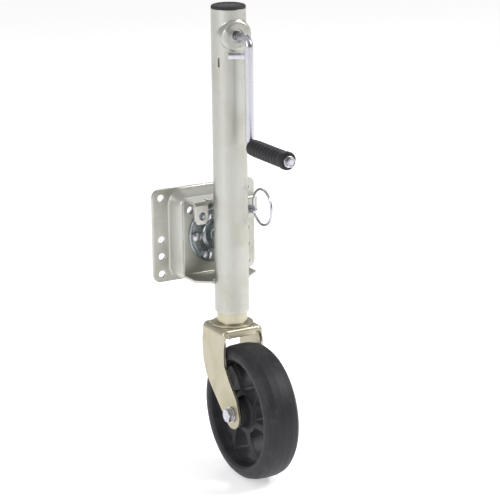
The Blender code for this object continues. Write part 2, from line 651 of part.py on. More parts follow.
def fork_outline():
    """Side view of a fork leg: upright under the crown, then swept back to the axle eye."""
    back, front = TUBE_Y + FORK_HALF_D, TUBE_Y - FORK_HALF_D
    upper = [(front, CROWN_TOP + 2), (back, CROWN_TOP + 2), (back, -162), (-58.0, -184), (-67.0, -205),
             (-88.0, -225.5)]
    eye = arc((WHEEL_Y, WHEEL_Z), 22.0, -52, -190, 12)
    return upper + eye + [(-158.0, -221.0), (-135.0, -196.0), (front - 1.5, -177)]


def fork():
    """Folded sheet fork: crown with front and rear lips and two cranked legs."""
    half, top, bend = FORK_HALF_W, CROWN_TOP, 9.0
    outer = [(half, -290)] + arc((half - bend, top - bend), bend, 0, 90, 5)
    outer += arc((-half + bend, top - bend), bend, 90, 180, 5) + [(-half, -290)]
    inner_half, inner_bend = half - FORK_SHEET, bend - FORK_SHEET
    inner = [(-inner_half, -290)] + arc((-inner_half + inner_bend, top - bend), inner_bend, 180, 90, 5)
    inner += arc((inner_half - inner_bend, top - bend), inner_bend, 90, 0, 5) + [(inner_half, -290)]
    body = plate("fork", [outer + inner], 150.0, place_xz(WHEEL_Y + 40), CREAM_ZINC)
    side = plate("fork_side", [fork_outline()], 80.0, place_yz(0), collection=CUTTERS)
    combine(body, side, "INTERSECT")
    for label, y, y_end in (("front", TUBE_Y - FORK_HALF_D, 4.0), ("rear", TUBE_Y + FORK_HALF_D, -4.0)):
        lip = [(-half + 2, top - 2), (-half + 2, top - FORK_LIP + 3), (-half + 5, top - FORK_LIP),
               (half - 5, top - FORK_LIP),
               (half - 2, top - FORK_LIP + 3), (half - 2, top - 2)]
        fuse(body, plate(f"fork_lip_{label}", [lip], 4.0, place_xz(y + y_end / 2), collection=CUTTERS))
    holes = rods("fork_holes", [((0, TUBE_Y, 0), "Z", -150, -110, 8.3, ROUND),
                                ((0, WHEEL_Y, WHEEL_Z), "X", -45, 45, AXLE_R + GAP, SMALL)],
                 collection=CUTTERS)
    return cut(body, holes)


def fork_fittings():
    axis, axle = (0, TUBE_Y, 0), (0, WHEEL_Y, WHEEL_Z)
    washer = turned("swivel_washer", [(30.0, RAM_LOW - GAP), (31.2, RAM_LOW - 1.2), (31.2, CROWN_TOP + GAP),
                                      (8.3, CROWN_TOP + GAP),
                                      (8.3, RAM_LOW - GAP)], axis, "Z", CREAM_ZINC, FINE)
    head_top = CROWN_TOP - FORK_SHEET - GAP
    kingpin = turned("kingpin", [(0, -84), (8, -84), (8, head_top), (13, head_top), (13, head_top - 3.5),
                                 (10, head_top - 6.5),
                                 (0, head_top - 6.5)], axis, "Z", STEEL, ROUND)
    nut_low = RAM_LOW + 20 + GAP
    kingpin_nut = rods("kingpin_nut", [((0, TUBE_Y, 0), "Z", nut_low, nut_low + 11, hex_radius(24), 6)],
                       STEEL)
    cut(kingpin_nut, rods("kingpin_nut_bore", [((0, TUBE_Y, 0), "Z", -110, -70, 8.3, ROUND)],
                          collection=CUTTERS))
    face = FORK_HALF_W + GAP
    bolt = rods("axle_bolt", [(axle, "X", -face - 9.3, -face - 2.3, hex_radius(19), 6)], BRIGHT_ZINC)
    fuse(bolt, rods("axle_bolt_shank", [(axle, "X", -face - 5, face + 15.5, AXLE_R, SMALL)],
                    collection=CUTTERS))
    washers = [ring(f"axle_washer_{label}", 12.0, AXLE_R + GAP, low, low + 2.0, axle, "X", BRIGHT_ZINC, ROUND)
               for label, low in (("left", -face - 2.0), ("right", face))]
    nut = rods("axle_nut", [(axle, "X", face + 2.3, face + 12.3, hex_radius(19), 6)], BRIGHT_ZINC)
    cut(nut, rods("axle_nut_bore", [(axle, "X", face, face + 20, AXLE_R + GAP, SMALL)], collection=CUTTERS))
    sleeve_half = FORK_HALF_W - FORK_SHEET - GAP
    sleeve = ring("axle_sleeve", 8.6, AXLE_R + GAP, -sleeve_half, sleeve_half, axle, "X", STEEL, ROUND)
    return washer, kingpin, kingpin_nut, bolt, *washers, nut, sleeve


def spoke_opening(index):
    """Curved window between two spokes, as an outline round the axle.

    Its two long sides lean with the radius, so the spokes sweep; its corners are rounded.
    """
    centre = math.radians(-46 + 60 * index)
    inner, outer, corner = 33.0, 74.0, 6.0
    spoke_half = 6.5
    points = []
    for side, radii in ((-1, np.linspace(inner + corner, outer - corner, 5)),
                        (1, np.linspace(outer - corner, inner + corner, 5))):
        for r in radii:
            sweep = math.radians(16) * ((r - inner) / (outer - inner)) ** 1.3
            half = math.radians(30) - spoke_half / r
            points.append((r, centre + sweep + side * half))
        edge = outer if side < 0 else inner
        end_r = outer - corner if side < 0 else inner + corner
        sweep = math.radians(16) * ((end_r - inner) / (outer - inner)) ** 1.3
        half = math.radians(30) - (spoke_half + corner * 0.75) / edge
        points += [(edge, centre + sweep + side * half * (1 - t)) for t in (0.0, 0.5, 1.0, 1.5, 2.0)]
    return [(WHEEL_Y - r * math.cos(a), WHEEL_Z + r * math.sin(a)) for r, a in points]


def wheel_parts():
    """Moulded wheel with a crowned tread, a recessed spoked web and two bearing bushes."""
    axle = (0, WHEEL_Y, WHEEL_Z)
    half, web, hub_bore = WHEEL_HALF_W, 12.0, 13.3
    right = [(WHEEL_R, 0), (WHEEL_R - 0.6, 12), (WHEEL_R - 3.0, half - 7), (WHEEL_R - 7.5, half - 2),
             (WHEEL_R - 13, half),
             (82.5, half), (80.0, half - 2.0), (77.5, web + 4), (75.5, web), (25.5, web), (22.5, web + 3),
             (21, half - 1), (20, half),
             (hub_bore, half)]
    profile = [(r, -x) for r, x in right[::-1]][:-1] + right
    profile = profile[::-1]
    wheel = turned("wheel", profile, axle, "X", WHEEL_PLASTIC, FINE + 4)
    windows = [plate(f"wheel_window_{i + 1}", [spoke_opening(i)], 40.0, place_yz(0),
                     collection=CUTTERS) for i in range(6)]
    cut(wheel, *windows)
    bushes = [ring(f"wheel_bush_{label}", hub_bore - GAP, 8.9, low, low + 18, axle, "X", STEEL, ROUND)
              for label, low in (("left", -half + 0.2), ("right", half - 18.2))]
    return wheel, *bushes


# ---------------------------------------------------------------- assembly

def build():
    main_bracket()
    pivot_pieces, bolt_holes = pivot_parts()
    bracket = swivel_bracket(bolt_holes)
    pin, collar, spring, pull, eye = lock_pin_parts()
    tube = outer_tube()
    fittings = tube_fittings()
    clip = handle_clip()
    arm = crank_arm()
    grip, grip_washer, grip_nut, retaining_ring = crank_fittings()
    gear, pinion, screw = gear_train()
    ram = ram_parts()
    caster = (fork(), *fork_fittings())
    wheel = wheel_parts()

    swing = on_axis("jack_swing_axis", (0, SWIVEL_FRONT_Y, PIVOT_Z),
                    [*pivot_pieces, bracket, spring, tube, *fittings, clip])
    pin_axis = on_axis("lock_pin_axis", (INDEX_OFFSET, SWIVEL_FRONT_Y, PIVOT_Z + INDEX_OFFSET), [pin, collar])
    ring_axis = on_axis("pull_ring_axis", eye, [pull])
    crank_axis = on_axis("crank_axis", (0, CRANK_PLANE_Y, CRANK_Z),
                         [arm, pinion, grip_washer, grip_nut, retaining_ring])
    grip_axis = on_axis("grip_axis", (0, GRIP_START_Y, GRIP_Z), [grip])
    screw_axis = on_axis("screw_axis", (0, TUBE_Y, HOUSING_TOP), [screw, gear])
    ram_axis = on_axis("ram_axis", (0, TUBE_Y, RAM_TOP), ram)
    caster_axis = on_axis("caster_axis", (0, TUBE_Y, CROWN_TOP), caster)
    wheel_axis = on_axis("wheel_axis", (0, WHEEL_Y, WHEEL_Z), wheel)
    chain = ((pin_axis, swing), (ring_axis, pin_axis), (crank_axis, swing), (grip_axis, crank_axis),
             (screw_axis, swing),
             (ram_axis, swing), (caster_axis, ram_axis), (wheel_axis, caster_axis))
    for child, parent in chain:
        child.parent = parent
        child.matrix_parent_inverse = parent.matrix_world.inverted()


build()
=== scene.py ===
"""Fine surfaces, finishes and studio for a trailer tongue jack, built round its packed model.

Lengths are in millimetres until a mesh is written, and then in metres. X runs across the
bracket, Y out of its mounting face and Z up the jack's tube.
"""
import math

import bmesh
import bpy
import numpy as np
from mathutils import Matrix, Vector
from mathutils.geometry import delaunay_2d_cdt


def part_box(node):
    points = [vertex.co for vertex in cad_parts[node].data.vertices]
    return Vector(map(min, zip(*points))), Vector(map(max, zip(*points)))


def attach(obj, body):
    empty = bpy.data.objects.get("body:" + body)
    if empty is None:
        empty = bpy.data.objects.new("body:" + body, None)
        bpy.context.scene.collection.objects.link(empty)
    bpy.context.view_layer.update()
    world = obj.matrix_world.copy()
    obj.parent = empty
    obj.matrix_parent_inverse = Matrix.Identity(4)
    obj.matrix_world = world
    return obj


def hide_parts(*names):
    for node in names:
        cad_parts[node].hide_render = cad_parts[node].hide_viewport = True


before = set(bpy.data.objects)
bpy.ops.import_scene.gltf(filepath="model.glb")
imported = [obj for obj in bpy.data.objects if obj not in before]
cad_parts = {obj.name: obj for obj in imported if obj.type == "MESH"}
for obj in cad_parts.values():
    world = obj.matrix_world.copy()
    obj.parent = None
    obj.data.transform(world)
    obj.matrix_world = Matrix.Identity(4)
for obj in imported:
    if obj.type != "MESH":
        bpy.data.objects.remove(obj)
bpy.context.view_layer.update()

bl_info = {
    "name": "Trailer tongue jack",
    "version": (1, 0, 0),
    "blender": (4, 5, 0),
    "location": "View3D > Sidebar > Jack",
    "description": "Builds the surfaces and finishes of a swivel-mount tongue jack round its frame",
    "category": "Object",
}

MM = 0.001


def span(node):
    """Lowest and highest corner of a CAD node, in millimetres."""
    low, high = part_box(node)
    return np.array(low) / MM, np.array(high) / MM


def middle(node):
    low, high = span(node)
    return (low + high) / 2


# ---- places read from the frame

TUBE_Y = middle("inner_tube")[1]
TUBE_LOW, TUBE_TOP = span("outer_tube")[0][2], span("outer_tube")[1][2]
TUBE_R, TUBE_WALL = 25.4, 2.4
PIVOT_Z = middle("pivot_rear_disc")[2]
CRANK_Z = middle("crank_rear_bush")[2]
GRIP_Z = middle("crank_grip")[2]
LOCK_X, LOCK_Z = middle("lock_pin_collar")[0], middle("lock_pin_collar")[2]
AXLE_Y, AXLE_Z = middle("wheel")[1], middle("wheel")[2]
FLOOR_Z = span("wheel")[0][2]
CROWN_TOP = span("fork")[1][2]
UP, FORWARD, RIGHT = (0, 0, 1), (0, -1, 0), (1, 0, 0)


# ---- outlines and paths

def unit(vectors):
    return vectors / np.maximum(np.linalg.norm(vectors, axis=-1, keepdims=True), 1e-12)


def apart(points, least=1e-4):
    """The points of a path without those that repeat the one before."""
    keep = np.linalg.norm(np.diff(points, axis=0), axis=1) > least
    return points[np.concatenate([[True], keep])]


def rounded(points, radius, closed=True, steps=6):
    """A path with its corners rounded.

    Each corner becomes the rational quadratic curve from one tangent point to the other,
    with the sine of half the inside angle as its weight, which is an exact arc. An arc
    that would pass the middle of a side is made smaller.
    """
    points = np.asarray(points, float)
    radius = np.broadcast_to(np.asarray(radius, float), len(points))[:, None]
    before, after = np.roll(points, 1, 0) - points, np.roll(points, -1, 0) - points
    reach = np.minimum(np.linalg.norm(before, axis=1), np.linalg.norm(after, axis=1))[:, None]
    before, after = unit(before), unit(after)
    half = np.arccos(np.clip((before * after).sum(1), -1, 1))[:, None] / 2
    cut = np.minimum(radius / np.maximum(np.tan(half), 1e-6), 0.49 * reach)
    start, end = points + before * cut, points + after * cut
    s = np.linspace(0, 1, steps + 1)[None, :, None]
    start_share, corner_share, end_share = (1 - s) ** 2, 2 * s * (1 - s) * np.sin(half)[:, :, None], s ** 2
    arcs = start_share * start[:, None] + corner_share * points[:, None] + end_share * end[:, None]
    arcs = arcs / (start_share + corner_share + end_share)
    if closed:
        return apart(arcs.reshape(-1, points.shape[1]))
    inner = arcs[1:-1].reshape(-1, points.shape[1])
    return apart(np.concatenate([points[:1], inner, points[-1:]]))


def circle(centre, radius, count=48):
    angle = full_turn(count)
    return np.stack([centre[0] + radius * np.cos(angle), centre[1] + radius * np.sin(angle)], 1)


def box_outline(half_w, half_h, radius, steps=8):
    corners = [(half_w, half_h), (-half_w, half_h), (-half_w, -half_h), (half_w, -half_h)]
    return rounded(corners, radius, steps=steps)


def along(path, lengths):
    """Places and directions on a path at the given lengths from its start."""
    steps = np.diff(path, axis=0)
    travelled = np.concatenate([[0], np.cumsum(np.linalg.norm(steps, axis=1))])
    turn = unit(np.concatenate([steps[:1], unit(steps[:-1]) + unit(steps[1:]), steps[-1:]]))
    place = np.stack([np.interp(lengths, travelled, column) for column in path.T], 1)
    heading = np.stack([np.interp(lengths, travelled, column) for column in turn.T], 1)
    return place, unit(heading), travelled


def full_turn(count):
    """Even angles round a circle."""
    return np.linspace(0, 2 * math.pi, count, endpoint=False)


def basis(axis):
    """Two directions square to an axis, so that first x second = axis."""
    axis = np.asarray(axis, float)
    first = np.array(RIGHT if abs(axis[0]) < 0.5 else UP, float)
    return first, np.cross(axis, first), axis


# ---- meshes

def mesh_of(name, points, faces, edge=None):
    """One mesh from arrays: joins what coincides, closes the poles and points the faces outwards."""
    mesh = bpy.data.meshes.new(name)
    mesh.from_pydata((points * MM).tolist(), [], faces if isinstance(faces, list) else faces.tolist())
    wear = mesh.attributes.new("edge", "FLOAT", "POINT")
    if edge is not None:
        wear.data.foreach_set("value", np.asarray(edge, np.float32).ravel())
    bm = bmesh.new()
    bm.from_mesh(mesh)
    bmesh.ops.remove_doubles(bm, verts=bm.verts, dist=2e-6)
    closed = all(len(e.link_faces) == 2 for e in bm.edges)
    if closed and bm.calc_volume(signed=True) < 0:
        bmesh.ops.reverse_faces(bm, faces=bm.faces)
    bm.to_mesh(mesh)
    bm.free()
    return mesh


def grid_faces(rows, columns, wrap_rows, wrap_columns):
    """Quads of a grid, as indices into its points taken row by row."""
    i, j = np.meshgrid(np.arange(rows - (not wrap_rows)), np.arange(columns - (not wrap_columns)), indexing="ij")
    down, across = (i + 1) % rows, (j + 1) % columns
    return np.stack([i * columns + j, i * columns + across, down * columns + across, down * columns + j],
                    -1).reshape(-1, 4)


def grid_mesh(name, points, wrap_rows=False, wrap_columns=True, edge=None):
    rows, columns = points.shape[:2]
    return mesh_of(name, points.reshape(-1, 3), grid_faces(rows, columns, wrap_rows, wrap_columns), edge)


def piece(name, mesh, body, slot, nodes=(), crease=42.0):
    """Put a mesh on its CAD body with its finish, standing for the CAD nodes named."""
    obj = bpy.data.objects.new(name, mesh)
    bpy.context.scene.collection.objects.link(obj)
    mesh.shade_smooth()
    mesh.set_sharp_from_angle(angle=math.radians(crease))
    mesh.materials.append(finish(slot))
    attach(obj, body)
    if nodes:
        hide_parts(*nodes)
    return obj


def even_shading(obj):
    """Lets the large faces set the normals, so that flats stay flat beside a rounded edge."""
    even = obj.modifiers.new("even_shading", "WEIGHTED_NORMAL")
    even.weight = 60
    even.keep_sharp = True
    return obj


def round_mesh(name, centre, axis, angle, radius, height, **grid):
    """Rows of points round an axis: centre + axis * height + radius * (first cos t + second sin t)."""
    first, second, axis = basis(axis)
    spoke = np.cos(angle)[:, None] * first + np.sin(angle)[:, None] * second
    points = np.asarray(centre, float) + height[..., None] * axis + radius[..., None] * spoke[None]
    return grid_mesh(name, points, **grid)


def turned_mesh(name, profile, centre, axis, facets=72, soften=0.5, steps=4):
    """A profile of (radius, height) turned about an axis. One that starts and ends on the axis
    makes a solid, any other a ring."""
    profile = np.asarray(profile, float)
    solid = profile[0][0] < 1e-9
    line = rounded(profile, soften, closed=not solid, steps=steps)
    heading = unit(np.diff(np.concatenate([line[-1:], line, line[:1]]), axis=0))
    bend = np.abs(heading[:-1, 0] * heading[1:, 1] - heading[:-1, 1] * heading[1:, 0])
    edge = np.repeat(np.clip(bend * 4, 0, 1)[:, None], facets, 1)
    return round_mesh(name, centre, axis, full_turn(facets), line[:, :1], line[:, 1:], wrap_rows=not solid,
                      edge=edge)


def turned(name, profile, centre, axis, body, slot, nodes=(), **shape):
    return even_shading(piece(name, turned_mesh(name, profile, centre, axis, **shape), body, slot, nodes))


def ring(outer, inner, near, far):
    """Profile of a plain ring between two heights."""
    return [(outer, near), (outer, far), (inner, far), (inner, near)]


def swept_mesh(name, path, across, rows, sides=32, closed=False):
    """A circle carried along a path and kept square to it.

    rows are (length from the start, radius) pairs, and repeat a length where the radius
    steps. Each circle lies in the plane of the direction across, taken square to the
    path's heading, and of their cross product.
    """
    path = np.asarray(path, float)
    lengths, radii = np.asarray(rows, float).T
    place, heading, travelled = along(path, lengths)
    if closed:
        heading = unit(np.roll(path, -1, 0) - np.roll(path, 1, 0))
        place, radii = path, np.full(len(path), radii[0])
    across = np.broadcast_to(np.asarray(across, float), place.shape)
    side = unit(across - (across * heading).sum(1, keepdims=True) * heading)
    up = np.cross(heading, side)
    angle = full_turn(sides)
    ring = np.cos(angle)[None, :, None] * side[:, None] + np.sin(angle)[None, :, None] * up[:, None]
    return grid_mesh(name, place[:, None] + radii[:, None, None] * ring, wrap_rows=closed)


def bar_rows(path, profile):
    """Rows for a bar: every point of the path, and every step of a (length, radius) profile."""
    travelled = along(path, [0.0])[2]
    lengths, radii = np.asarray(profile, float).T
    inside = travelled[(travelled > lengths[0]) & (travelled < lengths[-1])]
    everywhere = np.concatenate([inside, lengths])
    radius = np.concatenate([np.interp(inside, lengths, radii), radii])
    order = np.argsort(everywhere, kind="stable")
    return np.stack([everywhere, radius], 1)[order]


def hex_mesh(name, centre, axis, across_flats, height, bore=0.0, both=False, turn=0.0, columns=8, dome=0.0):
    """A chamfered hexagon head or nut.

    The radius at angle t is half the width over cos(t), t taken within 30 degrees of the
    nearest flat, and never more than the row's own radius. The chamfer drops by tan 30
    degrees of what the radius passes its circle, which leaves the curved edge of a real nut.
    """
    angle = full_turn(6 * columns)
    sector = math.pi / 3
    flat_half = across_flats / 2
    rim = flat_half / np.cos((angle + sector / 2) % sector - sector / 2)
    chamfer_r, lead, top_share = flat_half * 0.96, 0.6, 0.95
    out = np.linspace(chamfer_r, flat_half / math.cos(sector / 2), 6)[:, None]
    radius = np.minimum(out, rim[None])
    drop = np.maximum(radius - chamfer_r, 0) * math.tan(math.pi / 6)
    low_drop = drop if both else drop * 0
    mouth = np.full_like(rim, bore + lead)[None]
    rows_r = np.concatenate([mouth, radius, radius[::-1], mouth])
    rows_h = np.concatenate([np.full_like(rim, height)[None], height - drop, low_drop[::-1], rim[None] * 0])
    if bore:
        inner = np.full_like(rim, bore)[None]
        rows_r = np.concatenate([inner, rows_r, inner])
        rows_h = np.concatenate([inner * 0 + height - lead, rows_h, inner * 0 + lead])
    else:
        share = np.linspace(0, top_share, 6)[:, None]
        rows_r = np.concatenate([share * chamfer_r + rim[None] * 0, rows_r[1:], rim[None] * 0])
        rows_h = np.concatenate([height + dome * (0.9 - share ** 2) + rim[None] * 0, rows_h[1:], rim[None] * 0])
    return round_mesh(name, centre, axis, angle + turn, rows_r, rows_h, wrap_rows=bool(bore))


def hexagon(name, node, centre, axis, across_flats, height, body, slot="bright_zinc", **shape):
    mesh = hex_mesh(name, centre, axis, across_flats, height, **shape)
    return even_shading(piece(name, mesh, body, slot, [node]))


def thread_mesh(name, centre, axis, radius, start, end, pitch, facets=40, rows_a_turn=8, depth=0.6):
    """A threaded bar: radius(t, h) is a triangle wave of h / pitch - t / turn, cut to the root
    at the ends, where it closes on the axis."""
    depth = depth * pitch
    count = int((end - start) / pitch * rows_a_turn) + 2
    height = np.linspace(start, end, count)[:, None]
    angle = full_turn(facets)[None]
    phase = (height / pitch - angle / (2 * math.pi)) % 1
    wave = 1 - np.abs(2 * phase - 1)
    crest = radius - depth * (1 - np.clip(wave * 1.35, 0, 1))
    taper = radius - depth * 1.1 + np.minimum(height - start, end - height) * 1.0
    radii = np.minimum(crest, np.maximum(taper, radius - depth * 1.1))
    height = np.repeat(height, facets, 1)
    radii = np.concatenate([radii[:1] * 0, radii, radii[-1:] * 0])
    height = np.concatenate([height[:1], height, height[-1:]])
    return round_mesh(name, centre, axis, angle[0], radii, height)


# ---- sheet metal

def within(points, loops):
    """Even-odd rule: true for the points that an odd number of the loops' sides lie to the right of."""
    crossings = np.zeros(len(points), int)
    for loop in loops:
        a, b = loop[None], np.roll(loop, -1, 0)[None]
        u, v = points[:, None, 0], points[:, None, 1]
        spans = (a[..., 1] > v) != (b[..., 1] > v)
        rise = np.where(b[..., 1] == a[..., 1], 1.0, b[..., 1] - a[..., 1])
        at = a[..., 0] + (v - a[..., 1]) / rise * (b[..., 0] - a[..., 0])
        crossings += (spans & (at > u)).sum(1)
    return crossings % 2 == 1


def crossed(loop, lines):
    """A loop with a point added wherever it crosses a grid line."""
    step = np.roll(loop, -1, 0) - loop
    at = [np.arange(len(loop), dtype=float)]
    for axis, values in enumerate(lines):
        rate = np.where(np.abs(step[:, axis]) < 1e-9, np.inf, step[:, axis])
        share = (np.asarray(values)[None] - loop[:, None, axis]) / rate[:, None]
        side, line = np.nonzero((share > 0.002) & (share < 0.998))
        at.append(side + share[side, line])
    at = np.unique(np.round(np.concatenate(at), 3))
    side = at.astype(int)
    return loop[side] + (at - side)[:, None] * step[side]


def inset(loop, distance, hole=False):
    """A loop moved sideways into the metal, its corners mitred."""
    step = np.roll(loop, -1, 0) - loop
    step = step / np.sqrt((step ** 2).sum(1))[:, None]
    left = np.stack([-step[:, 1], step[:, 0]], 1)
    before = np.roll(left, 1, 0)
    mitre = (left + before) / np.maximum(1 + (left * before).sum(1), 0.6)[:, None]
    turning = (loop[:, 0] * np.roll(loop[:, 1], -1) - loop[:, 1] * np.roll(loop[:, 0], -1)).sum()
    return loop + mitre * distance * (1 if (turning > 0) != hole else -1)


EDGE_STEPS = (0.29, 1.0)    # where the loops beside a cut edge lie, as shares of its rounding
WEAR_REACH = 1.6            # how far wear spreads from a cut edge


def flat_pattern(outline, holes, lines, contours=(), soften=0.6, clear=0.45, joined=False):
    """Triangles over a flat outline with holes.

    The points are the loops, two more loops beside each for its rounded edge, any contours
    that a bend follows, and the crossings of the grid lines that lie inside, clear of a loop.
    Returns points, triangles, each point's distance from the nearest cut edge, and the
    rounding. joined is for a tube, whose two sides meet.
    """
    cut_edges = [crossed(np.asarray(loop, float), lines) for loop in (outline, *holes)]
    beside = [inset(loop, soften * share, index > 0) for index, loop in enumerate(cut_edges) for share in EDGE_STEPS
              if index or not joined]
    loops = cut_edges + beside + [np.asarray(loop, float) for loop in contours]
    u, v = np.meshgrid(*lines, indexing="ij")
    grid = np.stack([u.ravel(), v.ravel()], 1)
    grid = grid[within(grid, cut_edges)]
    border = np.concatenate(loops[joined:])
    gap = np.sqrt(((grid[:, None] - border[None]) ** 2).sum(-1)).min(1)
    grid = grid[gap > clear]
    starts = np.cumsum([0] + [len(loop) for loop in loops])
    sides = np.concatenate([np.stack([np.arange(n) + s, (np.arange(n) + 1) % n + s], 1)
                            for s, n in zip(starts, map(len, loops))])
    corners = [Vector(point) for point in np.concatenate([*loops, grid]).tolist()]
    points, _, faces = delaunay_2d_cdt(corners, sides.tolist(), [], 0, 1e-5)[:3]
    points, faces = np.array([tuple(p) for p in points]), np.array(faces)
    faces = faces[within(points[faces].mean(1), cut_edges)]
    a, b, c = (points[faces[:, k]] for k in range(3))
    area = (b - a)[:, 0] * (c - a)[:, 1] - (b - a)[:, 1] * (c - a)[:, 0]
    faces[area < 0] = faces[area < 0][:, ::-1]
    edge_points = np.concatenate(cut_edges)
    if joined:
        ends = edge_points[:, 0]
        edge_points = edge_points[(ends > ends.min() + 1e-6) & (ends < ends.max() - 1e-6)]
    near = np.sqrt(((points[:, None] - edge_points[None]) ** 2).sum(-1)).min(1)
    return points, faces, near, soften


def sheet(name, pattern, place, thickness, body, slot, nodes=(), offset=0.0):
    """Sheet metal: a flat pattern bent by place(u, v).

    The face lies on place(u, v), moved out by the offset, and the back lies one thickness
    behind it along the normal, the cross product of the two slopes. Both sink by a quarter
    circle's fall within the rounding of each cut edge, and a wall joins them there.
    """
    points, faces, near, soften = pattern
    u, v, tiny = points[:, 0], points[:, 1], 0.02
    normal = np.cross(place(u + tiny, v) - place(u - tiny, v), place(u, v + tiny) - place(u, v - tiny))
    normal /= np.sqrt((normal ** 2).sum(1))[:, None]
    fall = soften - np.sqrt(np.maximum(soften ** 2 - np.maximum(soften - near, 0) ** 2, 0))
    spot = place(u, v)
    _, first, same = np.unique(np.round(spot, 3), axis=0, return_index=True, return_inverse=True)
    faces = same.ravel()[faces]
    spot, normal, fall, near = spot[first], normal[first], fall[first], near[first]
    front = spot + normal * (offset - fall)[:, None]
    rear = spot + normal * (offset - thickness + fall)[:, None]
    sides = np.concatenate([faces[:, [0, 1]], faces[:, [1, 2]], faces[:, [2, 0]]])
    _, back, uses = np.unique(np.sort(sides, 1), axis=0, return_inverse=True, return_counts=True)
    rim = sides[uses[back.ravel()] == 1]
    count = len(spot)
    walls = np.stack([rim[:, 1], rim[:, 0], rim[:, 0] + count, rim[:, 1] + count], 1)
    all_faces = faces.tolist() + (faces[:, ::-1] + count).tolist() + walls.tolist()
    wear = np.tile(np.clip(1 - near / WEAR_REACH, 0, 1), 2)
    mesh = mesh_of(name, np.concatenate([front, rear]), all_faces, wear)
    return even_shading(piece(name, mesh, body, slot, nodes, crease=50.0))


def fold_lines(section, flats=6.0):
    """Grid lines along a folded section: each point of its bends, and even steps on its flats."""
    travelled = along(section, [0.0])[2]
    extra = [np.linspace(a, b, max(2, int((b - a) / flats) + 1))[1:-1] for a, b in zip(travelled, travelled[1:])]
    return np.unique(np.round(np.concatenate([travelled, *extra]), 4))


# ---- finishes

class Socket:
    """A shader output. Sums written with it add their Math nodes."""

    def __init__(self, shade, link):
        self.shade, self.link = shade, link

    def join(self, operation, other, swap=False):
        pair = (other, self) if swap else (self, other)
        return self.shade.add("ShaderNodeMath", {"operation": operation}, pair)

    def __add__(self, other):
        return self.join("ADD", other)

    def __sub__(self, other):
        return self.join("SUBTRACT", other)

    def __rsub__(self, other):
        return self.join("SUBTRACT", other, True)

    def __mul__(self, other):
        return self.join("MULTIPLY", other)

    __radd__, __rmul__ = __add__, __mul__


class Shade:
    """A material or surround being wired. add() makes any node; the others are its common uses."""

    def __init__(self, holder, place="Object"):
        holder.use_nodes = True
        self.holder, self.tree = holder, holder.node_tree
        self.tree.nodes.clear()
        self.place = self.add("ShaderNodeTexCoord", out=place)

    @staticmethod
    def find(sockets, key):
        if isinstance(key, int):
            return sockets[key]
        return next(s for s in sockets if key in (s.identifier, s.name) and s.enabled)

    def add(self, kind, settings=None, values=(), out=0):
        node = self.tree.nodes.new(kind)
        for key, value in (settings or {}).items():
            setattr(node, key, value)
        for key, value in values.items() if isinstance(values, dict) else enumerate(values):
            socket = self.find(node.inputs, key)
            if isinstance(value, Socket):
                self.tree.links.new(value.link, socket)
            else:
                socket.default_value = value
        return Socket(self, self.find(node.outputs, out)) if node.outputs else node

    def stretched(self, scale, turn=(0, 0, 0)):
        return self.add("ShaderNodeMapping", None, {"Vector": self.place, "Rotation": turn, "Scale": scale},
                        "Vector")

    def noise(self, scale, detail=3.0, place=None, roughness=0.5, warp=0.0):
        values = {"Vector": place or self.place, "Scale": scale, "Detail": detail, "Roughness": roughness,
                  "Distortion": warp}
        return self.add("ShaderNodeTexNoise", None, values)

    def step(self, value, low, high):
        """0 below low and 1 above high, with a smooth rise between."""
        settings = {"interpolation_type": "SMOOTHSTEP", "clamp": True}
        return self.add("ShaderNodeMapRange", settings, {"Value": value, "From Min": low, "From Max": high},
                        "Result")

    def blend(self, share, first, second):
        colours = {"Factor_Float": share, "A_Color": first, "B_Color": second}
        return self.add("ShaderNodeMix", {"data_type": "RGBA"}, colours, "Result_Color")

    def attribute(self, name):
        return self.add("ShaderNodeAttribute", {"attribute_name": name}, out="Fac")

    def close(self, colour, roughness, height, relief, **constants):
        """Wire the surface: colour and roughness vary, height in metres goes through a Bump node."""
        bump = self.add("ShaderNodeBump", None, {"Height": height, "Strength": relief, "Distance": 0.001}, "Normal")
        surface = self.add("ShaderNodeBsdfPrincipled", None,
                           {"Base Color": colour, "Roughness": roughness, "Normal": bump, **constants}, "BSDF")
        self.add("ShaderNodeOutputMaterial", None, {"Surface": surface})
        return self.holder


def rgb(colour, factor=1.0):
    return (colour[0] * factor, colour[1] * factor, colour[2] * factor, 1.0)


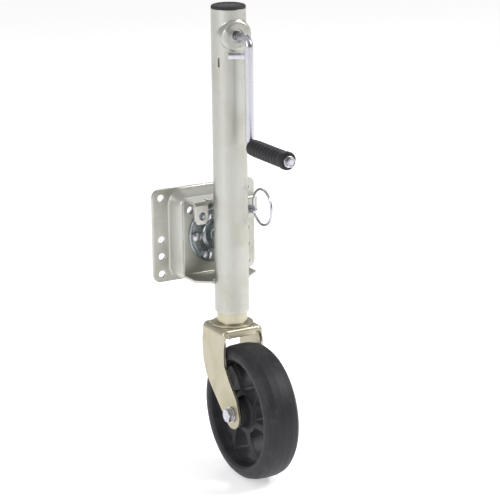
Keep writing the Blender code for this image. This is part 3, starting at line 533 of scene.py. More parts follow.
def plated(slot, colour, tint, roughness, metallic, lay=(1, 1, 0.02), cloud=0.5, grain=1.0):
    """Zinc plating over rolled steel.

    Slow clouds carry the passivation's tint, fine streaks follow the drawing direction, a
    thin scatter of scratches and dark specks lies over them, and worn edges are brighter
    and smoother.
    """
    s = Shade(bpy.data.materials.new(slot + "_finish"))
    clouds = s.noise(22.0, 4.0, warp=0.6)
    drift = s.noise(7.0, 2.0)
    streaks = s.noise(900.0, 3.0, s.stretched(lay))
    fine = s.noise(2600.0, 2.0)
    scratch_a = s.step(s.noise(260.0, 1.0, s.stretched((1, 1, 0.06), (0.5, 0.3, 0.4))), 0.72, 0.76)
    scratch_b = s.step(s.noise(230.0, 1.0, s.stretched((0.05, 1, 1), (0.2, -0.6, 0.9))), 0.73, 0.77)
    scratches = scratch_a + scratch_b
    specks = s.step(s.noise(520.0, 2.0, roughness=0.7), 0.70, 0.78)
    edge = s.attribute("edge")
    tone = s.blend(s.step(clouds * 0.7 + drift * 0.3, 0.38, 0.66) * cloud, rgb(colour), rgb(tint))
    tone = s.blend(s.step(streaks, 0.35, 0.75) * 0.22, tone, rgb(colour, 0.80))
    tone = s.blend(specks * 0.35, tone, rgb(tint, 0.45))
    tone = s.blend(edge * 0.45 + scratches * 0.25, tone, rgb(colour, 1.16))
    rough = clouds * 0.16 + streaks * 0.14 + (roughness - 0.15) + specks * 0.12 - edge * 0.08 - scratches * 0.05
    height = streaks * 0.35 * grain + fine * 0.25 * grain - scratches * 0.5 - specks * 0.6 + clouds * 0.4
    return s.close(tone, rough, height, 0.10, Metallic=metallic)


def moulded(slot, colour, dust, roughness, grain, scuff):
    """Moulded plastic: a fine spark-eroded grain, slow changes of gloss, scuffs and a little
    dust that stays low on the edges' wear."""
    s = Shade(bpy.data.materials.new(slot + "_finish"))
    slow = s.noise(30.0, 3.0, warp=0.5)
    texture = s.noise(grain, 3.0, roughness=0.65)
    scuffs = s.step(s.noise(150.0, 3.0, s.stretched((1, 0.12, 1), (0.3, 0.2, 0.7)), 0.7), 0.62, 0.80)
    dusting = s.step(s.noise(60.0, 5.0, roughness=0.7), 0.48, 0.78)
    edge = s.attribute("edge")
    tone = s.blend(s.step(slow, 0.35, 0.7), rgb(colour), rgb(colour, 1.35))
    tone = s.blend(dusting * 0.25 + scuffs * scuff, tone, rgb(dust))
    tone = s.blend(edge * 0.35, tone, rgb(colour, 2.2))
    rough = slow * 0.2 + texture * 0.15 + (roughness - 0.17) + scuffs * 0.12 - edge * 0.05
    height = texture * 0.6 + slow * 0.3 - scuffs * 0.4
    return s.close(tone, rough, height, 0.16, **{"Metallic": 0.0, "Specular IOR Level": 0.35})


# slot: colour setting, roughness, metallic, and what differs from plain rolled plating
PLATING = {
    "zinc_plate": ("zinc", 0.37, 0.88, {}),
    "yellow_zinc": ("cream", 0.38, 0.85, {"cloud": 0.75}),
    "bright_zinc": ("bright", 0.24, 0.95, {"cloud": 0.4, "grain": 0.5}),
    "blue_zinc": ("blue", 0.30, 0.95, {"lay": (1, 1, 1), "cloud": 0.9}),
    "machined_steel": ("steel", 0.30, 1.0, {"lay": (0.05, 1, 1), "grain": 1.4}),
    "bronze": ("bronze", 0.34, 1.0, {"lay": (1, 1, 1)}),
}
# slot: colour setting, roughness, scale of the grain, share of scuffs
MOULDING = {
    "cap_plastic": ("cap", 0.66, 1800.0, 0.20),
    "grip_plastic": ("grip", 0.55, 1400.0, 0.18),
    "wheel_plastic": ("wheel", 0.52, 1100.0, 0.22),
}
MADE = {}


def finish(slot):
    """The material of a slot, wired the first time it is asked for."""
    if slot not in MADE:
        colours = bpy.context.scene.jack_finishes
        key, *rest = MOULDING.get(slot) or PLATING[slot]
        if slot in MOULDING:
            MADE[slot] = moulded(slot, getattr(colours, key), colours.dust, *rest)
        else:
            roughness, metallic, differs = rest
            tint = getattr(colours, key + "_tint")
            MADE[slot] = plated(slot, getattr(colours, key), tint, roughness, metallic, **differs)
    return MADE[slot]


def studio_floor_finish():
    """Matt paper with a barely visible tooth."""
    s = Shade(bpy.data.materials.new("studio_floor_finish"))
    tooth = s.noise(90.0, 4.0)
    tone = s.blend(tooth, (0.90, 0.90, 0.90, 1.0), (0.93, 0.93, 0.93, 1.0))
    glow = {"Metallic": 0.0, "Emission Color": (1.0, 1.0, 1.0, 1.0), "Emission Strength": 0.48}
    return s.close(tone, tooth * 0.1 + 0.8, tooth, 0.05, **glow)


def colour(name, description, default):
    return bpy.props.FloatVectorProperty(name=name, description=description, default=default, size=3, min=0, max=1,
                                         subtype="COLOR")


class JackFinishes(bpy.types.PropertyGroup):
    """Colours of the jack's finishes, linear."""
    zinc: colour("Zinc plate", "Clear plating of tube and brackets", (0.55, 0.55, 0.515))
    zinc_tint: colour("Zinc clouds", "Olive haze in the clear plating", (0.42, 0.41, 0.32))
    cream: colour("Cream zinc", "Pale yellow plating of fork and ram", (0.54, 0.505, 0.39))
    cream_tint: colour("Cream clouds", "Deeper yellow haze", (0.43, 0.39, 0.25))
    bright: colour("Bright zinc", "Plating of crank, clip and bolts", (0.62, 0.62, 0.665))
    bright_tint: colour("Bright clouds", "Lilac haze in the bright plating", (0.47, 0.47, 0.55))
    blue: colour("Blue zinc", "Passivated turntable disc", (0.36, 0.395, 0.41))
    blue_tint: colour("Blue clouds", "Darker haze on the disc", (0.23, 0.26, 0.28))
    steel: colour("Machined steel", "Turned and oiled steel", (0.50, 0.50, 0.51))
    steel_tint: colour("Steel stain", "Oil stain on the turned steel", (0.33, 0.31, 0.28))
    bronze: colour("Bronze", "Lifting nut", (0.58, 0.39, 0.18))
    bronze_tint: colour("Bronze stain", "Greased bronze", (0.36, 0.24, 0.11))
    cap: colour("Cap plastic", "Moulded end cap", (0.022, 0.021, 0.022))
    grip: colour("Grip plastic", "Ribbed crank grip", (0.014, 0.014, 0.016))
    wheel: colour("Wheel plastic", "Moulded nylon wheel", (0.0175, 0.0168, 0.0205))
    dust: colour("Dust", "Dust and scuffs on the mouldings", (0.11, 0.105, 0.10))


class JackSizes(bpy.types.PropertyGroup):
    """Sizes that a user would change without touching the frame."""
    facets: bpy.props.IntProperty(name="Facets", description="Facets round a large turned piece", default=128,
                                  min=24)
    soften: bpy.props.FloatProperty(name="Edge softness", description="Rounding of cut sheet edges", default=0.0006,
                                    min=0.0, unit="LENGTH")
    bead: bpy.props.FloatProperty(name="Weld bead", description="Radius of the weld beads", default=0.0021,
                                  min=0.0005,
                                  unit="LENGTH")
    pitch: bpy.props.FloatProperty(name="Bolt pitch", description="Thread pitch of the bolts", default=0.0015,
                                   min=0.0005, unit="LENGTH")


# ---- brackets

FLANGE_HALF, FLANGE_CORNER = (87.0, 71.5), 12.0
PAN_HALF, PAN_CORNER = (60.0, 69.5), 22.0
SHEET, PAN_FRONT, PAN_DRAFT = 4.5, -29.0, 9.5
FLANGE_HOLES = [(side * 72.6, z) for side in (-1, 1) for z in (58.0, -6.0, -32.0, -59.0)]
PIVOT_HOLE_R, INDEX_HOLE_R, FLANGE_HOLE_R = 40.0, 6.0, 5.25
INDEX_OFFSET = LOCK_Z - PIVOT_Z
PLATE, BACK_Y, SHELF_TOP, SHELF_LOW, SWIVEL_BEND = 4.0, -32.5, 63.3, -60.0, 6.0
TAB_Y, TAB_LOW, TAB_INNER, SWIVEL_HALF, LOW_SHELF_Y = -74.6, 29.5, 30.0, 52.0, -85.0


def inset_from(u, v, half, corner):
    """How far a point lies inside a rounded rectangle: the corner radius less the distance
    from the smaller rectangle that the radius surrounds."""
    over = np.stack([np.abs(u) - half[0] + corner, np.abs(v) - half[1] + corner])
    outside = np.sqrt((np.maximum(over, 0) ** 2).sum(0))
    return corner - outside - np.minimum(over.max(0), 0)


def pressed_bracket(sizes):
    """Height field y(x, z): flat flange, filleted foot, drafted wall, rounded shoulder and flat
    pan, all a function of the inset from the pan's foot outline."""
    wall = rounded([(-9, -SHEET), (0, -SHEET), (PAN_DRAFT, PAN_FRONT), (26, PAN_FRONT)], [0, 3.2, 7.0, 0], False,
                   10)
    contours = [box_outline(PAN_HALF[0] - d, PAN_HALF[1] - d, PAN_CORNER - d, 12) for d in wall[1:-1:2,
                                                                                                0] if d > -1.6]
    holes = [circle((0, PIVOT_Z), PIVOT_HOLE_R, 96)]
    holes += [circle((side * INDEX_OFFSET, LOCK_Z), INDEX_HOLE_R, 36) for side in (-1, 1)]
    holes += [circle(centre, FLANGE_HOLE_R, 36) for centre in FLANGE_HOLES]
    lines = np.arange(-84, 85, 6.0), np.arange(-68, 69, 6.0)
    pattern = flat_pattern(box_outline(*FLANGE_HALF, FLANGE_CORNER), holes, lines, contours, sizes.soften / MM,
                           clear=1.2)

    def press(u, v):
        depth = np.interp(inset_from(u, v, PAN_HALF, PAN_CORNER), wall[:, 0], wall[:, 1])
        return np.stack([u, depth, v], 1)

    return sheet("main_bracket_pressing", pattern, press, SHEET, "bracket", "zinc_plate", ["main_bracket"])


def bolt_circle(radius=34.0, count=6):
    angle = np.arange(count) * 2 * math.pi / count
    return np.stack([radius * np.cos(angle), PIVOT_Z + radius * np.sin(angle)], 1)


def swivel_channel(sizes):
    """Channel folded from one plate: the section runs up the tab, back over the top shelf, down
    the back plate and out along the low shelf; the flat pattern carries its cut-outs."""
    corners = [(TAB_Y, TAB_LOW), (TAB_Y, SHELF_TOP), (BACK_Y, SHELF_TOP), (BACK_Y, SHELF_LOW),
               (LOW_SHELF_Y, SHELF_LOW)]
    section = rounded(corners, SWIVEL_BEND, False, 8)
    travelled = along(section, [0.0])[2]

    def flat_from(column, value):
        """Where a flat at this y (column 0) or z (1) starts: its length, and its other coordinate."""
        index = np.argmax(np.abs(section[:, column] - value) < 1e-6)
        return travelled[index], section[index, 1 - column]

    shelf_start, shelf_y = flat_from(1, SHELF_TOP)
    back_start, back_z = flat_from(0, BACK_Y)
    shelf_at = lambda y: shelf_start + (y - shelf_y)
    back_at = lambda z: back_start + (back_z - z)
    end = travelled[-1]
    low_at = lambda y: end - (y - LOW_SHELF_Y)
    reach = TUBE_R + 0.3
    half = SWIVEL_HALF
    arc_top = [(reach * math.sin(t), shelf_at(TUBE_Y + reach * math.cos(t))) for t in np.linspace(0.68, -0.68, 18)]
    arc_low = [(reach * math.sin(t), low_at(TUBE_Y + reach * math.cos(t))) for t in np.linspace(-1.45, 1.45, 30)]
    left = [(-TAB_INNER, shelf_at(-60.0)), (-TAB_INNER, 7.0), (-TAB_INNER - 4.5, 0.0), (-half + 4.5, 0.0),
            (-half, 7.0),
            (-half, low_at(-69.7)), (-31.5, end), (-reach, end)]
    right = [(-u, v) for u, v in left[::-1]]
    tongue = [(28.0, shelf_at(-60.0)), (26.6, shelf_at(-68.0))]
    outline = left + arc_low + right + tongue + arc_top + [(-u, v) for u, v in tongue[::-1]]
    holes = [circle((side * INDEX_OFFSET, LOCK_Z - TAB_LOW), 5.9, 32) for side in (-1, 1)]
    holes += [circle((side * INDEX_OFFSET, back_at(LOCK_Z)), 5.9, 32) for side in (-1, 1)]
    holes += [circle((x, back_at(z)), 4.3, 24) for x, z in bolt_circle()]
    lines = np.arange(-48, 49, 6.0), fold_lines(section)
    pattern = flat_pattern(outline, holes, lines, soften=sizes.soften / MM, clear=0.9)

    def fold(u, v):
        place = along(section, v)[0]
        return np.stack([u, place[:, 0], place[:, 1]], 1)

    return sheet("swivel_channel", pattern, fold, PLATE, "jack", "zinc_plate", ["swivel_bracket"])


def turntable(sizes):
    """Hub and two discs as turned profiles about the pivot axis, out towards the crank side."""
    centre, facets = (0, 0, PIVOT_Z), sizes.facets
    turned("turntable_hub", [(0, 32.2), (46, 32.2), (46, 29.3), (39.6, 29.3), (39.6, 24.2), (0, 24.2)], centre,
           FORWARD,
           "jack", "machined_steel", ["pivot_hub"], facets=facets)
    face = [(0, 43.4), (9.0, 43.4), (10.5, 44.0), (19, 44.0), (21.5, 42.6), (23, 40.8), (37.5, 40.8), (38.5, 40.3),
            (40.0, 40.8), (42.6, 40.8), (44, 39.6), (44, 36.8), (0, 36.8)]
    turned("turntable_front_disc", face, centre, FORWARD, "jack", "blue_zinc", ["pivot_front_disc"], facets=facets,
           soften=0.8)
    turned("turntable_rear_disc", [(0, 23.9), (44, 23.9), (44, 20.4), (0, 20.4)], centre, FORWARD, "jack",
           "machined_steel", ["pivot_rear_disc"], facets=facets)


def turntable_bolts(sizes):
    """Six chamfered hexagon bolts with threaded ends, and their nuts."""
    for index, (x, z) in enumerate(bolt_circle()):
        turn = 0.35 + 0.9 * index
        bolt, nut = f"pivot_bolt_{index + 1}", f"pivot_nut_{index + 1}"
        hexagon(bolt + "_head", bolt, (x, -41.1, z), FORWARD, 13.0, 5.3, "jack", turn=turn, dome=1.3)
        end = thread_mesh("end", (x, 0, z), FORWARD, 3.95, 11.0, 36.0, 1.25)
        piece(bolt + "_thread", end, "jack", "bright_zinc", [bolt], crease=80)
        hexagon(nut + "_hex", nut, (x, -13.6, z), FORWARD, 13.0, 6.5, "jack", bore=4.2, both=True, turn=turn + 0.5)


# ---- lock pin

def lock_pin(sizes):
    """Turned pin with a flattened, drilled tongue, its pressed collar, its coil spring and the pull ring."""
    centre = (LOCK_X, 0, LOCK_Z)
    pin = [(0, 81.0), (5.5, 81.0), (5.5, 48.0), (5.1, 47.4), (5.1, 44.6), (5.5, 44.0), (5.5, 34.5), (4.0, 33.0),
           (0, 33.0)]
    turned("lock_pin_shank", pin, centre, FORWARD, "lock_pin", "bright_zinc", ["lock_pin"], facets=64)
    tongue = rounded([(-5, -79.5), (-5, -93.0), (5, -93.0), (5, -79.5)], [0.5, 4.9, 4.9, 0.5], steps=10)
    lines = np.arange(-4, 5, 2.0), np.arange(-92, -80, 2.0)
    pattern = flat_pattern(tongue, [circle((0, -88.0), 3.7, 28)], lines, soften=0.7)
    sheet("lock_pin_tongue", pattern, lambda u, v: np.stack([LOCK_X + u, v, u * 0 + LOCK_Z + 2.5], 1), 5.0,
          "lock_pin",
          "bright_zinc", ["lock_pin"])
    turned("lock_pin_washer", ring(9.0, 5.8, 45.0, 47.0), centre, FORWARD, "lock_pin",
           "bright_zinc", ["lock_pin_collar"], facets=64, soften=0.4)
    turns, coil_r, wire = 5, 7.6, 0.8
    angle = np.linspace(0, turns * 2 * math.pi, turns * 36)
    run = np.linspace(48.3 + wire * 0.2, 69.5 - wire * 0.2, len(angle))
    out = np.stack([np.cos(angle), angle * 0, np.sin(angle)], 1)
    helix = np.array(centre) + coil_r * out - np.outer(run, (0, 1, 0))
    whole = along(helix, [0.0])[2][-1]
    rows = bar_rows(helix, [(0, 0), (0, wire), (whole, wire), (whole, 0)])
    piece("lock_pin_coil", swept_mesh("coil", helix, (0, 1, 0), rows, 14), "jack", "machined_steel",
          ["lock_spring"])
    low, high = span("pull_ring")
    wire = (high[0] - low[0]) / 2
    hoop_r = (high[1] - low[1]) / 2 - wire
    hoop_y, hoop_z = (low[1] + high[1]) / 2, (low[2] + high[2]) / 2
    angle = full_turn(120)
    hoop = np.stack([angle * 0 + LOCK_X, hoop_y + hoop_r * np.cos(angle), hoop_z + hoop_r * np.sin(angle)], 1)
    mesh = swept_mesh("hoop", hoop, RIGHT, [(0, wire)] * len(hoop), 20, closed=True)
    piece("pull_ring_hoop", mesh, "pull_ring", "bright_zinc", ["pull_ring"])


# ---- tube and its fittings

BOSS = np.array([(18.5, 116.5), (21.5, 115.4), (23.6, 112.5), (24.6, 108.0), (25.0, 90.0)])


def tube_radius(angle, z):
    """Radius of the tube's outside at an angle from its front and a height.

    Plain tube away from the crank boss. At the boss it is the furthest distance along the
    ray from the tube's axis that is still inside the boss, a turned shape about the crank
    axis, taken from closely spaced trials and eased into the tube.
    """
    trial = np.linspace(TUBE_R - 2.0, TUBE_R + 8.0, 260)[None]
    across = trial * np.sin(angle)[:, None]
    out = -TUBE_Y + trial * np.cos(angle)[:, None]
    spread = np.sqrt(across ** 2 + (z - CRANK_Z)[:, None] ** 2)
    line = rounded(np.concatenate([[(0.0, BOSS[0, 1])], BOSS]), 3.0, False, 8)
    limit = np.interp(out, line[::-1, 1], line[::-1, 0], right=-1.0)
    inside = (spread < limit) & (np.cos(angle)[:, None] > 0)
    furthest = np.where(inside, trial, 0).max(1)
    rise = np.maximum(furthest - TUBE_R, 0)
    ease = 3.0
    return TUBE_R + rise ** 2 / (rise + ease) * (1 + ease / 8.0)


def outer_tube(sizes):
    """Drawn tube: the wall's radius is a function of angle and height, which raises the crank
    boss; the flat pattern is the tube slit and unrolled, with its bush holes and weld slot."""
    flat = TUBE_R
    width, start = 2 * math.pi * flat, -1.5 * math.pi * flat
    outline = [(start, TUBE_LOW), (start + width, TUBE_LOW), (start + width, TUBE_TOP), (start, TUBE_TOP)]
    face_r = BOSS[0, 1] + TUBE_Y
    turn = full_turn(64)
    bush_r, rear_r = 9.8, 7.3
    front = np.stack([flat * np.arctan(bush_r * np.cos(turn) / face_r), CRANK_Z + bush_r * np.sin(turn)], 1)
    rear = np.stack([-math.pi * flat + flat * np.arcsin(rear_r * np.cos(turn) / flat),
                     CRANK_Z + rear_r * np.sin(turn)], 1)
    slot_low, slot_high = 266.0, 280.0
    slot_at = -math.radians(64.5) * flat
    slot = rounded([(slot_at - 1.5, slot_low), (slot_at + 1.5, slot_low), (slot_at + 1.5, slot_high),
                    (slot_at - 1.5, slot_high)], 1.2, steps=5)
    columns = np.linspace(start, start + width, sizes.facets + 1)
    boss_rows = np.arange(CRANK_Z - 27, CRANK_Z + 27.5, 0.9)
    rim = 0.5
    beside = rim * EDGE_STEPS[0]
    ends = np.array([TUBE_LOW + beside, TUBE_LOW + rim, TUBE_TOP - rim, TUBE_TOP - beside])
    rows = np.concatenate([ends[:2], np.arange(TUBE_LOW + 6, boss_rows[0], 9.0), boss_rows, ends[2:]])
    pattern = flat_pattern(outline, [front, rear, slot], (columns[1:-1], rows), soften=rim, clear=0.4, joined=True)

    def roll(u, v):
        angle = u / flat
        radius = tube_radius(angle, v)
        return np.stack([radius * np.sin(angle), TUBE_Y - radius * np.cos(angle), v], 1)

    return sheet("jack_tube", pattern, roll, TUBE_WALL, "jack", "zinc_plate", ["outer_tube"])


def tube_cap(sizes):
    """Moulded cap: skirt inside the tube, rounded rim and a shallow dished top."""
    top = span("top_cap")[1][2]
    profile = [(0, top - 0.9), (15.0, top - 0.9), (17.5, top), (21.5, top), (24.4, top - 0.9), (25.4, top - 2.8),
               (25.4, TUBE_TOP + 0.3), (22.7, TUBE_TOP + 0.3), (22.7, TUBE_TOP - 12), (20.5, TUBE_TOP - 12),
               (20.5, top - 3.5), (0, top - 3.5)]
    turned("tube_cap", profile, (0, TUBE_Y, 0), UP, "jack", "cap_plastic", ["top_cap"], facets=sizes.facets,
           soften=0.9)


def crank_bushes(sizes):
    """Flanged bushes in the tube's front and rear, the bearing housing and the thrust bearing."""
    centre = (0, 0, CRANK_Z)
    turned("front_bush", ring(9.5, 6.6, 113.5, 107.5), centre, FORWARD, "jack",
           "machined_steel", ["crank_front_bush"], soften=0.5)
    rear = [(7.0, 66.8), (7.0, 62.0), (9.5, 62.0), (9.5, 60.0), (4.85, 60.0), (4.85, 66.8)]
    turned("rear_bush", rear, centre, FORWARD, "jack", "machined_steel", ["crank_rear_bush"], soften=0.4)
    axis = (0, TUBE_Y, 0)
    housing = [(22.7, 289.0), (22.7, 263.0), (15.6, 263.0), (15.6, 282.8), (6.2, 282.8), (6.2, 289.0)]
    turned("screw_bearing_housing", housing, axis, UP, "jack", "machined_steel", ["bearing_housing"])
    bearing = [(15.2, 274.6), (15.2, 277.6), (14.4, 278.1), (14.4, 279.0), (15.2, 279.5), (15.2, 282.5),
               (8.6, 282.5),
               (8.6, 274.6)]
    turned("screw_thrust_bearing", bearing, axis, UP, "jack", "machined_steel", ["thrust_bearing"], soften=0.3)


def crank_clip(sizes):
    """Strap steadying the arm: a flat strip bent along a smooth path round the back of the bar."""
    bends = [(-13.5, -110.2), (-5.0, -114.4), (3.0, -118.6), (9.0, -123.5), (11.5, -129.0), (10.6, -134.0),
             (8.6, -137.6)]
    section = rounded(bends, 9.0, False, 6)
    length = along(section, [0.0])[2][-1]
    low, high = span("handle_clip")
    outline = rounded([(0, low[2]), (length, low[2]), (length, high[2] - 1.4), (0, high[2] - 1.4)], [1, 4, 4, 1],
                      steps=8)
    lines = fold_lines(section, 2.0), np.arange(low[2] + 1.5, high[2] - 1, 1.8)
    pattern = flat_pattern(outline, [], lines, soften=0.5, clear=0.6)

    def bend(u, v):
        place, heading, _ = along(section, u)
        swell = 1.3 * ((v - (low[2] + high[2]) / 2) / (high[2] - low[2]) * 2) ** 2 - 1.3
        return np.stack([place[:, 0] - heading[:, 1] * swell, place[:, 1] + heading[:, 0] * swell, v], 1)

    return sheet("crank_strap", pattern, bend, 2.4, "jack", "bright_zinc", ["handle_clip"], offset=1.2)


# ---- crank, screw and ram

def crank_arm(sizes):
    """One bar bent twice, as a circle carried along the filleted path; it steps down to the
    spindle in the gear box and to the grip's pin."""
    arm_y, spindle_y, pin_y, neck_y, collar_y = -147.0, -57.0, -264.5, -107.3, -153.9
    corners = [(0, spindle_y, CRANK_Z), (0, arm_y, CRANK_Z), (0, arm_y, GRIP_Z), (0, pin_y, GRIP_Z)]
    path = rounded(corners, [0, 12.0, 8.5, 0], False, 16)
    whole = along(path, [0.0])[2][-1]
    bar, spindle, pin = 6.25, 4.5, 5.0
    shoulder, collar = neck_y - spindle_y, pin_y - collar_y
    rows = bar_rows(path, [(0, 0), (0, spindle - 0.8), (0.8, spindle), (-shoulder, spindle), (-shoulder, bar - 0.7),
                           (-shoulder + 0.7, bar), (whole + collar - 0.7, bar), (whole + collar, bar - 0.7),
                           (whole + collar, pin), (whole - 0.8, pin), (whole, pin - 0.8), (whole, 0)])
    arm = piece("crank_bar", swept_mesh("bar", path, RIGHT, rows, 48), "crank", "bright_zinc", ["crank_arm"])
    even_shading(arm)
    turned("spindle_retaining_ring", ring(7.5, 4.8, 58.2, 59.4), (0, 0, CRANK_Z), FORWARD, "crank",
           "machined_steel", ["crank_retaining_ring"],
           facets=48, soften=0.25)


def crank_grip(sizes):
    """Ribbed grip: the barrel's radius is a raised cosine of the length between a plain collar at
    the arm and a cupped collar round the washer; washer and nut close its end."""
    low, high = span("crank_grip")
    near, far, barrel = -high[1], -low[1], 12.5
    rib_count = 9
    run = np.linspace(near + 14.0, far - 13.0, rib_count * 12 + 1)
    wave = barrel - 0.35 + 0.30 * np.cos((run - run[0]) / (run[-1] - run[0]) * rib_count * 2 * math.pi)
    ribs = list(zip(wave[::-1], run[::-1]))
    profile = [(5.35, far), (9.2, far), (11.6, far - 0.6), (barrel + 0.6, far - 3.0), (barrel + 0.6, far - 10.0),
               (barrel + 0.1, far - 12.0)] + ribs + [(barrel - 0.6, near + 11.5), (barrel - 0.6, near + 3.0),
                                                      (barrel - 2.5, near), (5.35, near)]
    centre = (0, 0, GRIP_Z)
    turned("grip_barrel", profile, centre, FORWARD, "grip", "grip_plastic", ["crank_grip"], facets=96, soften=0.6,
           steps=3)
    low, high = span("grip_washer")
    turned("grip_end_washer", ring(8.5, 5.3, -low[1], -high[1]), centre, FORWARD, "crank", "bright_zinc",
           ["grip_washer"], soften=0.4)
    low, high = span("grip_nut")
    hexagon("grip_end_nut", "grip_nut", (0, high[1], GRIP_Z), FORWARD, 13.0, high[1] - low[1], "crank",
            bore=5.05, both=True, turn=0.2)


def lifting_screw(sizes):
    """Lead screw: plain journal and collar turned, and a threaded length below."""
    axis, low = (0, TUBE_Y, 0), span("lead_screw")[0][2]
    journal = [(0, 303.6), (5.5, 303.6), (5.5, 274.3), (12.0, 274.3), (12.0, 268.5), (8.0, 268.5), (8.0, 262.0),
               (0, 262.0)]
    turned("screw_journal", journal, axis, UP, "screw", "machined_steel", ["lead_screw"], facets=64)
    thread = thread_mesh("thread", axis, UP, 8.0, low, 262.5, 5.0, facets=48, rows_a_turn=10, depth=0.3)
    piece("screw_thread", thread, "screw", "machined_steel", ["lead_screw"], crease=60)


def ram(sizes):
    """Inner tube with rounded mouths, the bronze lifting nut with its flange, its pin and the stem plug."""
    axis = (0, TUBE_Y, 0)
    low, high = span("inner_tube")[0][2], span("inner_tube")[1][2]
    turned("ram_tube", ring(22.6, 20.0, high, low), axis, UP, "ram", "yellow_zinc",
           ["inner_tube"], facets=sizes.facets, soften=0.6)
    nut = [(22.4, high + 3.4), (22.4, high + 0.3), (19.7, high + 0.3), (19.7, high - 22), (8.3, high - 22),
           (8.3, high + 3.4)]
    turned("lifting_nut", nut, axis, UP, "ram", "bronze", ["screw_nut"])
    pin = [(0, 12.0), (2.0, 12.0), (2.0, 22.2), (0, 22.2)]
    turned("lifting_nut_pin", pin, (0, TUBE_Y, high - 12), RIGHT, "ram", "machined_steel", ["nut_pin"], facets=32,
           soften=0.3)
    turned("ram_stem_plug", ring(19.7, 8.3, low + 20, low), axis, UP, "ram",
           "machined_steel", ["stem_plug"])


# ---- fork and wheel

FORK_SHEET, FORK_HALF_W, FORK_HALF_D, FORK_LIP, FORK_BEND = 4.5, 34.2, 33.0, 13.0, 9.0
EYE_R, LIP_BEND = 22.0, 5.5


def fork(sizes):
    """Fork folded from one sheet.

    u runs down one leg, over the crown and down the other; v runs back to front. The section
    gives x and z. Past the crown's front and rear edges the sheet turns down over a quarter
    circle, by a share that is full on the crown and fades out along the top of each leg.
    """
    leg_low = AXLE_Z - EYE_R - 2
    section = rounded([(-FORK_HALF_W, leg_low), (-FORK_HALF_W, CROWN_TOP), (FORK_HALF_W, CROWN_TOP),
                       (FORK_HALF_W, leg_low)],
                      FORK_BEND, False, 10)
    travelled = along(section, [0.0])[2]
    middle_u, drop = travelled[-1] / 2, FORK_BEND * (2 - math.pi / 2)
    leg_u = lambda z: middle_u + (FORK_HALF_W - drop) + (CROWN_TOP - z)
    axle = np.array([leg_u(AXLE_Z), AXLE_Y - TUBE_Y])
    eye_turn = np.radians(np.linspace(52, 185, 26))
    eye = [(axle[0] + EYE_R * math.sin(t), axle[1] + EYE_R * math.cos(t)) for t in eye_turn]
    back = [(leg_u(z), y - TUBE_Y) for y, z in ((-55.5, -162.0), (-58.0, -184.0), (-67.0, -205.0), (-88.0, -225.5))]
    front = [(leg_u(z), y - TUBE_Y) for y, z in ((-158.0, -221.0), (-135.0, -196.0), (-122.0, -177.0))]
    flat_lip = FORK_HALF_D - LIP_BEND + LIP_BEND * math.pi / 2 + FORK_LIP - LIP_BEND
    crown_u = FORK_HALF_W - drop
    lip = [(middle_u + crown_u - 4.0, flat_lip), (middle_u + crown_u + 12.0, flat_lip - 7.0),
           (middle_u + crown_u + 30.0, FORK_HALF_D)]
    half = [(u, v) for u, v in lip] + back + eye + front + [(u, -v) for u, v in lip[::-1]]
    radii = [5, 14, 12] + [0, 12, 30, 0] + [0] * len(eye) + [0, 30, 12] + [12, 14, 5]
    mirrored = [(2 * middle_u - u, v) for u, v in half[::-1]]
    outline = rounded(half + mirrored, radii + radii[::-1], steps=6)
    holes = [circle((middle_u, 0.0), 8.4, 48)]
    holes += [circle((middle_u + side * (axle[0] - middle_u), axle[1]), 6.3, 36) for side in (-1, 1)]
    fade_from, fade_over = 2.0, 34.0
    bends = FORK_HALF_D - LIP_BEND + np.linspace(0, LIP_BEND * math.pi / 2, 8)
    across = np.unique(np.concatenate([np.arange(-80, -42, 4.0), -bends, np.arange(-24, 25, 4.0), bends,
                                       [38.0, 41.0]]))
    lines = fold_lines(section, 4.0), across
    pattern = flat_pattern(outline, holes, lines, soften=sizes.soften * 1.3 / MM, clear=0.9)

    def fold(u, v):
        place, heading, _ = along(section, u)
        inward = np.stack([heading[:, 1], -heading[:, 0]], 1)
        past = np.maximum(np.abs(v) - (FORK_HALF_D - LIP_BEND), 0)
        turn = np.minimum(past / LIP_BEND, math.pi / 2)
        down = LIP_BEND * (1 - np.cos(turn)) + np.maximum(past - LIP_BEND * math.pi / 2, 0)
        out = np.minimum(np.abs(v), FORK_HALF_D - LIP_BEND) + LIP_BEND * np.sin(turn)
        fade = np.clip((np.abs(u - middle_u) - crown_u - fade_from) / fade_over, 0, 1)
        share = 1 - fade * fade * (3 - 2 * fade)
        spot = place + inward * (down * share)[:, None]
        depth = np.sign(v) * (out * share + np.abs(v) * (1 - share))
        return np.stack([spot[:, 0], TUBE_Y + depth, spot[:, 1]], 1)

    return sheet("caster_fork", pattern, fold, FORK_SHEET, "caster", "yellow_zinc", ["fork"])


